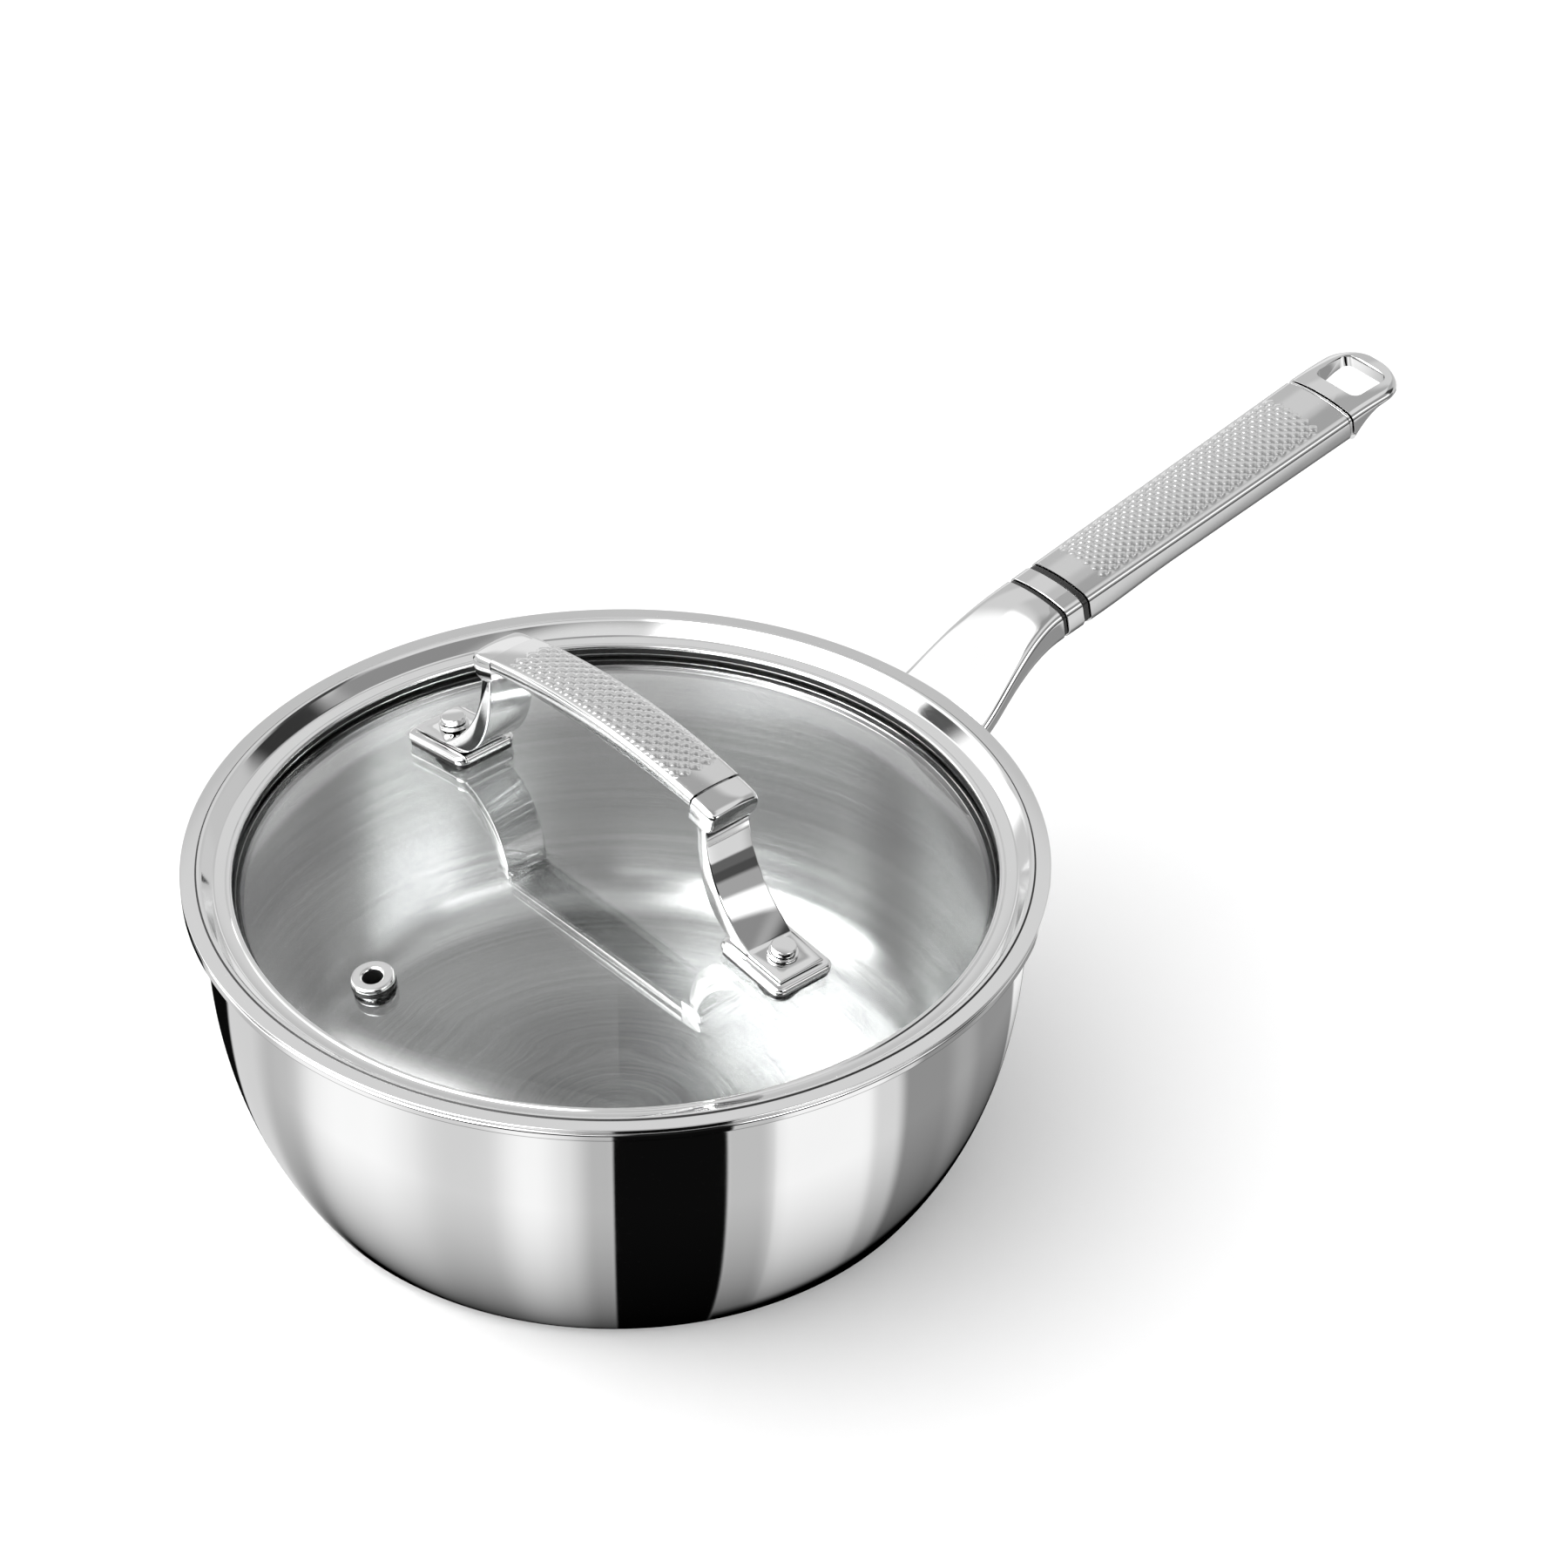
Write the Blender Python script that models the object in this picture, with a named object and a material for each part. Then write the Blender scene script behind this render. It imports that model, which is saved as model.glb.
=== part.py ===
"""Saucepan with a glass lid: flared steel pan, knurled hollow handle with a hanging loop,
and a lift-off glass lid with a steel rim, a vent and an arched knurled handle.

Frame: +Z up, the pan stands on Z = 0 around the Z axis, the long handle points along +X and
the lid handle runs along Y.  Dimensions are in millimetres and scaled by MM when meshed."""

import math

import bmesh
import bpy
from mathutils import Matrix, Vector

MM = 0.001
GAP = 0.3                       # clearance left between pieces that touch
TURN = 60                       # facets round the pan and the lid

# pan body
WALL = 2.5                      # wall thickness
FLOOR = 4.6                     # base thickness
BODY_R = 101.5                  # outer radius of the upper wall
INNER_R = BODY_R - WALL
WALL_TOP = 71.0                 # where the straight wall meets the flared rim
WALL_CURVE = ((BODY_R, WALL_TOP), (BODY_R, 45.0), (96.6, 23.0), (84.6, 4.6))
RIM_R = 106.9
RIM_TOP = 81.9
RIM_UNDER = 79.3

# lid rim, radii outward and heights above the floor
FLANGE_R = 107.0
FLANGE_TOP = 83.0
SHEET = 0.8
RIDGE_R = 102.5
SLOPE_FOOT_R = 98.9
PLATEAU_Z = 79.9
LIP_R = 94.3
LIP_BOTTOM = 77.2
SKIRT_R = 98.3
HEM_R = 94.9
HEM_TOP = 71.9

# lid glass
GLASS_R = 97.2
GLASS_T = 3.2
DOME_TOP = 88.9
DOME_RADIUS = 460.0
SHOULDER_R = 76.0
SHOULDER_K = 0.0069

# vent in the glass, opposite the long handle
VENT_X = -76.0
VENT_BORE_R = 2.4
VENT_TUBE_R = 3.4
VENT_HEAD_R = 5.5

# lid handle
FOOT_Y = 59.6
FOOT_L = 23.0
FOOT_W = 18.4
STUD_OFFSET = 2.2
STUD_R = 2.2
STUD_BORE_R = 2.6
GLASS_BORE_R = 3.2
LEG_W = 14.0
LEG_OUTER = ((42.5, 120.0), (41.6, 109.0), (46.5, 98.5))
LEG_INNER = ((39.0, 120.0), (38.6, 107.0), (41.0, 94.5))
LID_GRIP_Y = 37.9
LID_GRIP_TOP = 130.2
LID_GRIP_DROP = 3.6
LID_GRIP_W = 16.0
LID_GRIP_T = 6.0
LID_KNURL_Y = 31.5
CAP_END_Y = 45.6
CAP_T = 8.0

# long handle: a curved neck, then a straight run tilted upward
NECK_CURVE = ((98.0, 76.6), (112.0, 78.2), (122.0, 95.5), (139.0, 98.4))
NECK_ROOT_W = 32.6
NECK_ROOT_T = 6.0
RUN_W = 21.5
RUN_T = 11.4
RUN_WIDENING = 0.026            # width gained per millimetre along the run
RUN_THINNING = 1.0              # thickness lost behind the collar
RUN_CROWN = 1.5
RUN_TOP_R = 1.6
RUN_BOTTOM_R = 5.0
RUN_X, RUN_Z = NECK_CURVE[3]
RUN_TILT = math.atan2(NECK_CURVE[3][1] - NECK_CURVE[2][1], NECK_CURVE[3][0] - NECK_CURVE[2][0])
FRONT_SEAL = (0.3, 1.3)         # spans measured along the straight run
COLLAR = (1.6, 7.0)
REAR_SEAL = (7.3, 8.9)
GRIP = (9.2, 101.0)
KNURL = (16.8, 92.4)
TAIL_RING = (101.3, 102.0)
LOOP = (102.3, 122.6)
LOOP_HOLE = (107.3, 119.2)
LOOP_HOLE_W = 15.4
LOOP_CORNER = 8.0
LOOP_END_T = 3.9
LOOP_DROP = 1.7                 # how far the loop's top bends down at its end
GRIP_WALL = 1.3
ROD_R = 2.2
ROD_DEPTH = 4.8
ROD_SPAN = (-8.0, 104.6)
KNURL_PITCH = (4.2, 3.6)
KNURL_RISE = 0.35


# ---------------------------------------------------------------- profiles and curves

def bezier(p, t):
    a, b, c, d = (1 - t) ** 3, 3 * t * (1 - t) ** 2, 3 * t * t * (1 - t), t ** 3
    return (a * p[0][0] + b * p[1][0] + c * p[2][0] + d * p[3][0],
            a * p[0][1] + b * p[1][1] + c * p[2][1] + d * p[3][1])


def bezier_points(p, count):
    return [bezier(p, i / count) for i in range(count + 1)]


def smooth(lo, hi, x):
    t = min(1.0, max(0.0, (x - lo) / (hi - lo)))
    return t * t * (3 - 2 * t)


def offset_left(points, distance):
    """Moves an open polyline sideways, to the left of its direction of travel."""
    out = []
    for i, (x, y) in enumerate(points):
        x0, y0 = points[max(i - 1, 0)]
        x1, y1 = points[min(i + 1, len(points) - 1)]
        length = math.hypot(x1 - x0, y1 - y0)
        out.append((x - distance * (y1 - y0) / length, y + distance * (x1 - x0) / length))
    return out


def filleted(corners):
    """Closed outline from corners (x, y, radius, steps); radius 0 keeps the corner sharp."""
    out = []
    for i, (x, y, radius, steps) in enumerate(corners):
        if radius == 0:
            out.append((x, y))
            continue
        here = Vector((x, y))
        back = (Vector(corners[i - 1][:2]) - here).normalized()
        ahead = (Vector(corners[(i + 1) % len(corners)][:2]) - here).normalized()
        half = back.angle(ahead) / 2
        start = here + back * radius / math.tan(half)
        centre = here + (back + ahead).normalized() * radius / math.sin(half)
        arm = start - centre
        sweep = math.pi - 2 * half
        if back.x * ahead.y - back.y * ahead.x > 0:
            sweep = -sweep
        for k in range(steps + 1):
            turned = Matrix.Rotation(sweep * k / steps, 2) @ arm
            out.append(tuple(centre + turned))
    return out


def rounded_rect(length, width, radius, steps=4):
    a, b = length / 2, width / 2
    return filleted([(a, -b, radius, steps), (a, b, radius, steps),
                     (-a, b, radius, steps), (-a, -b, radius, steps)])


def grip_section(width, thick, crown, top_r, bottom_r, across):
    """Handle cross-section (y, z): crowned top with its middle at z = 0, rounded underside."""
    half = width / 2
    flat = half - top_r
    points = [(-flat + 2 * flat * i / across, 0.0) for i in range(across + 1)]
    for k in range(1, 5):
        a = math.radians(90 - 90 * k / 4)
        points.append((flat + top_r * math.cos(a), top_r * math.sin(a) - top_r))
    for k in range(6):
        a = math.radians(-90 * k / 5)
        points.append((half - bottom_r + bottom_r * math.cos(a),
                       bottom_r - thick + bottom_r * math.sin(a)))
    for k in range(6):
        a = math.radians(-90 - 90 * k / 5)
        points.append((bottom_r - half + bottom_r * math.cos(a),
                       bottom_r - thick + bottom_r * math.sin(a)))
    for k in range(4):
        a = math.radians(180 - 90 * k / 4)
        points.append((-flat + top_r * math.cos(a), top_r * math.sin(a) - top_r))
    return [(y, z - crown * (y / half) ** 2 * max(0.0, 1 + z / thick)) for y, z in points]


# ---------------------------------------------------------------- mesh building

def material(name, colour, metallic, roughness, transmission=0.0):
    mat = bpy.data.materials.new(name)
    mat.use_nodes = True
    shader = mat.node_tree.nodes["Principled BSDF"]
    shader.inputs["Base Color"].default_value = (*colour, 1.0)
    shader.inputs["Metallic"].default_value = metallic
    shader.inputs["Roughness"].default_value = roughness
    shader.inputs["Transmission Weight"].default_value = transmission
    return mat


def add(name, verts, faces, look, smooth_shade=True):
    """Makes one closed, outward-facing object with its own material."""
    bm = bmesh.new()
    made = [bm.verts.new(Vector(v) * MM) for v in verts]
    for face in faces:
        bm.faces.new([made[i] for i in face])
    bmesh.ops.remove_doubles(bm, verts=bm.verts, dist=1e-7)
    bmesh.ops.recalc_face_normals(bm, faces=bm.faces)
    mesh = bpy.data.meshes.new(name)
    bm.to_mesh(mesh)
    bm.free()
    obj = bpy.data.objects.new(name, mesh)
    bpy.context.collection.objects.link(obj)
    mesh.materials.append(material(name + "_finish", *look))
    for poly in mesh.polygons:
        poly.use_smooth = smooth_shade
    return obj


def revolve(name, profile, look, frame=None, segments=TURN):
    """Turns a closed (radius, height) outline round the local Z axis."""
    count = len(profile)
    verts, faces = [], []
    for k in range(segments):
        a = 2 * math.pi * k / segments
        for r, z in profile:
            verts.append((r * math.cos(a), r * math.sin(a), z))
    for k in range(segments):
        here, there = k * count, ((k + 1) % segments) * count
        for i in range(count):
            j = (i + 1) % count
            faces.append((here + i, there + i, there + j, here + j))
    if frame is not None:
        verts = [frame @ Vector(v) for v in verts]
    return add(name, verts, faces, look)


def turned(name, profile, look, frame, segments=18):
    """Turns an open (radius, height) outline whose ends lie on the local Z axis."""
    inner = profile[1:-1]
    verts = [(0, 0, profile[0][1]), (0, 0, profile[-1][1])]
    faces = []
    count = len(inner)
    for k in range(segments):
        a = 2 * math.pi * k / segments
        verts += [(r * math.cos(a), r * math.sin(a), z) for r, z in inner]
    for k in range(segments):
        here, there = 2 + k * count, 2 + ((k + 1) % segments) * count
        faces.append((0, there, here))
        faces.append((1, here + count - 1, there + count - 1))
        for i in range(count - 1):
            faces.append((here + i, there + i, there + i + 1, here + i + 1))
    return add(name, [frame @ Vector(v) for v in verts], faces, look)


def skin(rings, closed_ends=True):
    """Faces over successive rings of equal size, with both end rings capped if asked."""
    size = len(rings[0])
    verts = [v for ring in rings for v in ring]
    faces = []
    for k in range(len(rings) - 1):
        for i in range(size):
            j = (i + 1) % size
            a, b = k * size, (k + 1) * size
            faces.append((a + i, a + j, b + j, b + i))
    if closed_ends:
        faces.append(tuple(range(size)))
        faces.append(tuple(range((len(rings) - 1) * size, len(rings) * size)))
    return verts, faces


def loft(name, rings, look, smooth_shade=True):
    verts, faces = skin(rings)
    return add(name, verts, faces, look, smooth_shade)


def cut(obj, cutters):
    """Subtracts each cutter from the object."""
    for cutter in cutters:
        cutter.hide_render = True
        cutter.display_type = "WIRE"
        mod = obj.modifiers.new("cut_" + cutter.name, "BOOLEAN")
        mod.operation = "DIFFERENCE"
        mod.solver = "EXACT"
        mod.object = cutter
        bpy.context.view_layer.objects.active = obj
        bpy.ops.object.modifier_apply(modifier=mod.name)
        bpy.data.objects.remove(cutter, do_unlink=True)
    return obj


def drill(name, radius, low, high, frame, segments=18):
    return turned(name, [(0, low), (radius, low), (radius, high), (0, high)], STEEL, frame,
                  segments)


STEEL = ((0.80, 0.80, 0.82), 1.0, 0.12)
BRUSHED = ((0.72, 0.72, 0.73), 1.0, 0.32)
SILICONE = ((0.03, 0.03, 0.032), 0.0, 0.5)
CLEAR = ((0.93, 0.97, 0.96), 0.0, 0.02, 1.0)


# ---------------------------------------------------------------- frames

def glass_height(r):
    sag = DOME_RADIUS - math.sqrt(DOME_RADIUS ** 2 - r * r)
    return DOME_TOP - sag - SHOULDER_K * max(0.0, r - SHOULDER_R) ** 2


def glass_frame(x, y):
    """Frame on the glass: local Z leaves the dome squarely, local X points outward."""
    r = math.hypot(x, y)
    lean = math.asin(r / DOME_RADIUS)
    heading = Matrix.Rotation(math.atan2(y, x), 4, "Z")
    return Matrix.Translation((x, y, glass_height(r))) @ heading @ Matrix.Rotation(lean, 4, "Y")


def run_point(d, y, z):
    """Point on the straight run of the long handle: d along it, z away from its top line."""
    return (RUN_X + d * math.cos(RUN_TILT) - z * math.sin(RUN_TILT), y,
            RUN_Z + d * math.sin(RUN_TILT) + z * math.cos(RUN_TILT))


def run_frame():
    return (Matrix.Translation((RUN_X, 0, RUN_Z)) @ Matrix.Rotation(-RUN_TILT, 4, "Y")
            @ Matrix.Translation((0, 0, -ROD_DEPTH)) @ Matrix.Rotation(math.pi / 2, 4, "Y"))


def run_width(d):
    return RUN_W + RUN_WIDENING * d


def run_thick(d):
    return RUN_T - RUN_THINNING * smooth(12, 40, d)


def run_ring(d, inset=0.0, across=8):
    section = grip_section(run_width(d) - 2 * inset, run_thick(d) - 2 * inset, RUN_CROWN,
                           RUN_TOP_R - min(inset, 0.9), RUN_BOTTOM_R - inset, across)
    return [run_point(d, y, z - inset) for y, z in section]


# ---------------------------------------------------------------- pan

def outer_outline(spare=0.0):
    """Outside of the pan from the wall's foot to the rim's top; spare moves it outward."""
    wall = offset_left(bezier_points(WALL_CURVE, 8), spare)[::-1]
    rim = filleted([(BODY_R + spare, WALL_TOP, 0, 0),
                    (BODY_R + spare, RIM_UNDER - spare, 4.5 - spare, 4),
                    (RIM_R + spare, RIM_UNDER - spare, 0.9, 2),
                    (RIM_R + spare, RIM_TOP + spare, 1.1, 2),
                    (INNER_R, RIM_TOP + spare, 0, 0)])
    return wall[:-1] + rim[:-1]


def body_outline():
    """Open pan outline from the underside, round the rim and down to the cooking surface."""
    foot = [(78.3, 0.0), (80.4, 0.35), (82.1, 1.25)]
    lip = filleted([(RIM_R, RIM_TOP, 0, 0), (INNER_R, RIM_TOP, 5.5, 5), (INNER_R, WALL_TOP, 0, 0)])
    inner = offset_left(bezier_points(WALL_CURVE, 8), -WALL)[1:-1]
    floor = [(79.0, FLOOR + 1.5), (76.4, FLOOR + 0.65), (73.0, FLOOR + 0.15), (70.0, FLOOR)]
    return foot + outer_outline() + lip[1:] + inner + floor


def pan_body():
    outline = body_outline()
    count = len(outline)
    verts, faces = [(0, 0, 0), (0, 0, FLOOR)], []
    for k in range(TURN):
        a = 2 * math.pi * k / TURN
        verts += [(r * math.cos(a), r * math.sin(a), z) for r, z in outline]
    for k in range(TURN):
        here, there = 2 + k * count, 2 + ((k + 1) % TURN) * count
        faces.append((0, here, there))
        faces.append((1, here + count - 1, there + count - 1))
        for i in range(count - 1):
            faces.append((here + i, there + i, there + i + 1, here + i + 1))
    return add("pan_body", verts, faces, STEEL)


def clearance_block():
    """Solid of revolution a little larger than the pan, used to fit the neck against it."""
    side = [(r, z) for r, z in outer_outline(GAP) if z > 30.0]
    outline = [(0, side[0][1])] + side + [(0, side[-1][1])]
    return turned("neck_clearance", outline, STEEL, Matrix.Identity(4), TURN)


# ---------------------------------------------------------------- long handle

def handle_neck():
    rings = []
    count = 16
    for i in range(count + 1):
        t = i / count
        x, z = bezier(NECK_CURVE, t)
        x1, z1 = bezier(NECK_CURVE, t + 1e-4)
        tilt = math.atan2(z1 - z, x1 - x)
        width = NECK_ROOT_W - (NECK_ROOT_W - RUN_W) * smooth(100, RUN_X, x)
        rise = smooth(114, RUN_X, x)
        thick = NECK_ROOT_T + (RUN_T - NECK_ROOT_T) * rise
        section = grip_section(width, thick, RUN_CROWN - 0.7 * (1 - rise),
                               RUN_TOP_R - 0.4 * (1 - rise), RUN_BOTTOM_R - 2.0 * (1 - rise), 8)
        rings.append([(x - h * math.sin(tilt), y, z + h * math.cos(tilt)) for y, h in section])
    neck = loft("handle_neck", rings, STEEL)
    bore = drill("neck_bore", ROD_R + GAP, ROD_SPAN[0] - GAP, 5.0, run_frame())
    return cut(neck, [clearance_block(), bore])


def joint_ring(name, span, look):
    """Thin ring set a little below the surface between two lengths of the handle."""
    ring = loft(name, [run_ring(span[0], 0.4), run_ring(span[1], 0.4)], look)
    return cut(ring, [drill(name + "_bore", ROD_R + GAP, span[0] - 2, span[1] + 2, run_frame())])


def handle_collar():
    steps = 4
    rings = [run_ring(COLLAR[0] + (COLLAR[1] - COLLAR[0]) * i / steps) for i in range(steps + 1)]
    collar = loft("handle_collar", rings, STEEL)
    return cut(collar, [drill("collar_bore", ROD_R + GAP, -2, COLLAR[1] + 2, run_frame())])


def knurled(rings, across, first, last, up):
    """Raises every other grid point of the top face to make rows of pyramids."""
    for k in range(first, last + 1):
        for i in range(1, across):
            if (k + i) % 2 == 0:
                rings[k][i] = tuple(Vector(rings[k][i]) + up * KNURL_RISE)


def triangulate_top(faces, size, across, first, last):
    """Splits the knurled cells between valleys, so each raised point stands alone."""
    out = []
    for face in faces:
        k, i = divmod(face[0], size)
        if len(face) == 4 and first <= k < last and i < across:
            a, b, c, d = face
            out += [(a, b, d), (b, c, d)] if (k + i) % 2 == 0 else [(a, b, c), (a, c, d)]
        else:
            out.append(face)
    return out


def handle_grip():
    across = round((run_width(50) - 2 * RUN_TOP_R) / (KNURL_PITCH[1] / 2))
    rows = round((KNURL[1] - KNURL[0]) / (KNURL_PITCH[0] / 2))
    stations = [GRIP[0], (GRIP[0] + KNURL[0]) / 2]
    stations += [KNURL[0] + (KNURL[1] - KNURL[0]) * i / rows for i in range(rows + 1)]
    stations += [(GRIP[1] + KNURL[1]) / 2, GRIP[1]]
    outer = [run_ring(d, 0.0, across) for d in stations]
    first, last = 3, 1 + rows
    knurled(outer, across, first, last, Vector((-math.sin(RUN_TILT), 0, math.cos(RUN_TILT))))
    size = len(outer[0])
    verts, faces = skin(outer, False)
    faces = triangulate_top(faces, size, across, first - 1, last + 1)
    inner = [run_ring(GRIP[0] + (GRIP[1] - GRIP[0]) * i / 8, GRIP_WALL, across) for i in range(9)]
    base = len(verts)
    more, inside = skin(inner, False)
    verts += more
    faces += [tuple(base + i for i in face) for face in inside]
    for i in range(size):
        j = (i + 1) % size
        faces.append((i, j, base + j, base + i))
        a, b = len(outer) * size - size, base + len(inner) * size - size
        faces.append((a + i, a + j, b + j, b + i))
    return add("handle_grip", verts, faces, BRUSHED)


def loop_progress(d):
    return max(0.0, (d - LOOP[0]) / (LOOP[1] - LOOP[0]))


def loop_drop(d):
    """Fall of the loop's top below the line of the straight run."""
    return LOOP_DROP * loop_progress(d) ** 2


def handle_end_loop():
    rings = []
    joint_width, joint_thick = run_width(LOOP[0]), run_thick(LOOP[0])
    for i in range(19):
        t = i / 18
        eased = t if t < 0.5 else 0.5 + 0.5 * math.sin((t - 0.5) * math.pi)
        d = LOOP[0] + (LOOP[1] - LOOP[0]) * eased
        corner = max(0.0, d - (LOOP[1] - LOOP_CORNER))
        pinch = LOOP_CORNER - math.sqrt(max(0.0, LOOP_CORNER ** 2 - corner ** 2))
        width = joint_width - 2 * min(pinch, LOOP_CORNER - 0.4)
        thick = LOOP_END_T + (joint_thick - LOOP_END_T) * (1 - loop_progress(d)) ** 2.6
        crown = RUN_CROWN * (width / joint_width) ** 2
        section = grip_section(width, thick, crown, RUN_TOP_R, min(3.5, thick - 1.9), 8)
        rings.append([run_point(d, y, z - loop_drop(d)) for y, z in section])
    loop = loft("handle_end_loop", rings, STEEL)
    middle = (LOOP_HOLE[0] + LOOP_HOLE[1]) / 2
    walls = []
    for z, grow in ((2.0, 1.6), (0.0, 0.8), (-1.2, 0.0), (-14.0, 0.0)):
        outline = rounded_rect(LOOP_HOLE[1] - LOOP_HOLE[0] + grow, LOOP_HOLE_W + grow, 2.4)
        walls.append([run_point(middle + x, y, z - loop_drop(middle + x)) for x, y in outline])
    hole = loft("loop_hole", walls, STEEL)
    bore = drill("loop_bore", ROD_R + GAP, 100.0, ROD_SPAN[1] + GAP, run_frame())
    return cut(loop, [hole, bore])


def handle_tie_rod():
    low, high = ROD_SPAN
    return turned("handle_tie_rod", [(0, low), (ROD_R - 0.5, low), (ROD_R, low + 0.5),
                                     (ROD_R, high - 0.5), (ROD_R - 0.5, high), (0, high)],
                  STEEL, run_frame())


# ---------------------------------------------------------------- lid

def lid_rim():
    under = SHEET * 1.1
    outline = filleted([
        (FLANGE_R, FLANGE_TOP - SHEET, 0.3, 1), (FLANGE_R, FLANGE_TOP, 0.3, 1),
        (RIDGE_R + 0.8, FLANGE_TOP, 0, 0), (RIDGE_R + 0.35, FLANGE_TOP + 0.35, 0, 0),
        (RIDGE_R - 0.35, FLANGE_TOP + 0.35, 0, 0), (RIDGE_R - 0.9, FLANGE_TOP - 0.1, 0.6, 2),
        (SLOPE_FOOT_R, PLATEAU_Z + 0.15, 0.8, 2), (LIP_R + 1.7, PLATEAU_Z, 0, 0),
        (LIP_R + 1.25, PLATEAU_Z + 0.35, 0, 0), (LIP_R, PLATEAU_Z + 0.35, 0.7, 3),
        (LIP_R, LIP_BOTTOM, 0, 0), (LIP_R + SHEET, LIP_BOTTOM, 0, 0),
        (LIP_R + SHEET, PLATEAU_Z - under, 0, 0), (SKIRT_R - SHEET, PLATEAU_Z - under, 0, 0),
        (SKIRT_R - SHEET, HEM_TOP, 0, 0), (HEM_R, HEM_TOP, 0, 0),
        (HEM_R, HEM_TOP - SHEET, 0.3, 1), (SKIRT_R, HEM_TOP - SHEET, 0.6, 2),
        (SKIRT_R, PLATEAU_Z - 0.5, 0, 0),
        (RIDGE_R - 1.0, FLANGE_TOP - SHEET, 0.4, 1)])
    return revolve("lid_rim", outline, STEEL)


def lid_glass():
    steps = 8
    radii = [GLASS_R * math.sqrt(i / steps) for i in range(1, steps + 1)]
    top = [(r, glass_height(r)) for r in radii]
    bottom = [(r, z - GLASS_T) for r, z in top[::-1]]
    outline = [(0, DOME_TOP)] + top + bottom + [(0, DOME_TOP - GLASS_T)]
    glass = turned("lid_glass", outline, CLEAR, Matrix.Identity(4), TURN)
    holes = [drill("vent_hole", VENT_TUBE_R + 2 * GAP, -8, 4, glass_frame(VENT_X, 0))]
    for side in (1, -1):
        frame = glass_frame(0, side * FOOT_Y) @ Matrix.Translation((STUD_OFFSET, 0, 0))
        holes.append(drill("stud_hole", GLASS_BORE_R, -8, 4, frame))
    return cut(glass, holes)


def washer(name, bore, radius, low, high, look, frame, round_top=0.0):
    corners = [(bore, low, 0, 0), (radius, low, 0, 0), (radius, high, round_top, 3),
               (bore, high, 0, 0)]
    return revolve(name, filleted(corners), look, frame, 18)


def vent():
    frame = glass_frame(VENT_X, 0)
    under = -GLASS_T - 4 * GAP
    outline = filleted([
        (VENT_BORE_R, under - 0.8, 0, 0), (VENT_BORE_R, 2.9, 0.9, 4), (VENT_HEAD_R, 2.9, 0.8, 4),
        (VENT_HEAD_R, 1.5, 0.3, 2), (VENT_TUBE_R, 1.5, 0, 0), (VENT_TUBE_R, under, 0, 0),
        (VENT_HEAD_R - 0.6, under, 0, 0), (VENT_HEAD_R - 0.6, under - 0.8, 0.3, 2)])
    revolve("vent_eyelet", outline, STEEL, frame, 20)
    washer("vent_seal_outer", VENT_TUBE_R + GAP, VENT_HEAD_R + 0.1, GAP, 1.2, SILICONE, frame)
    washer("vent_seal_inner", VENT_TUBE_R + GAP, VENT_HEAD_R - 0.3, under + GAP, -GLASS_T - GAP,
           SILICONE, frame)


def foot_hardware(side, tag):
    """Gasket, plate, washer, stud and the nut under the glass of one lid-handle foot."""
    frame = glass_frame(0, side * FOOT_Y)
    bore = frame @ Matrix.Translation((STUD_OFFSET, 0, 0))

    def slab(name, levels, look):
        rings = []
        for z, inset in levels:
            outline = rounded_rect(FOOT_L - 2 * inset, FOOT_W - 2 * inset, 2.8 - inset * 0.8, 5)
            rings.append([frame @ Vector((x, y, z)) for x, y in outline])
        slab_obj = loft(name, rings, look)
        return cut(slab_obj, [drill(name + "_bore", STUD_BORE_R, -3, 8, bore)])

    slab("foot_gasket_" + tag, [(0.3, 0.5), (1.3, 0.5)], SILICONE)
    slab("foot_plate_" + tag, [(1.6, 0.25), (1.85, 0.0), (2.5, 0.0), (3.1, 0.18), (3.5, 0.55),
                               (3.7, 1.2)], STEEL)
    washer("stud_washer_" + tag, STUD_BORE_R, 3.85, 5.0, 5.8, STEEL, bore, 0.3)
    turned("handle_stud_" + tag,
           [(0, -8.6), (STUD_R - 0.3, -8.6), (STUD_R, -8.3), (STUD_R, 6.1), (3.2, 6.1),
            (3.2, 7.3), (3.1, 7.55), (2.85, 7.7), (0, 7.7)], STEEL, bore)
    washer("nut_gasket_" + tag, STUD_BORE_R, 5.6, -GLASS_T - 1.4, -GLASS_T - 0.4, SILICONE, bore)
    turned("cap_nut_" + tag,
           [(0, -10.2), (2.4, -9.9), (3.9, -8.9), (4.4, -7.6), (4.4, -6.2), (5.6, -6.0),
            (5.6, -4.9), (STUD_BORE_R, -4.9), (STUD_BORE_R, -9.0), (0, -9.0)], STEEL, bore)


def leg(side, tag):
    """Curved strap that leaves the cap, sweeps outward and ends in a flat pad on the foot."""
    frame = glass_frame(0, side * FOOT_Y)

    def pad(along, up):
        p = frame @ Vector((along, 0, up))
        return (abs(p.y), p.z)

    outer = bezier_points(LEG_OUTER + (pad(-2.2, 4.7),), 14)
    inner = bezier_points(LEG_INNER + (pad(-8.3, 4.0),), 14)[::-1]
    outline = outer + [pad(8.9, 4.7), pad(9.2, 4.4), pad(9.2, 4.0)] + inner
    rings = []
    for x, inset in ((-LEG_W / 2, 0.25), (-LEG_W / 2 + 0.25, 0.0), (LEG_W / 2 - 0.25, 0.0),
                     (LEG_W / 2, 0.25)):
        ring = offset_closed(outline, inset)
        rings.append([(x, side * y, z) for y, z in ring])
    strap = loft("lid_leg_" + tag, rings, STEEL, False)
    bore = frame @ Matrix.Translation((STUD_OFFSET, 0, 0))
    return cut(strap, [drill("leg_bore", STUD_BORE_R, 2, 7, bore)])


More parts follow.
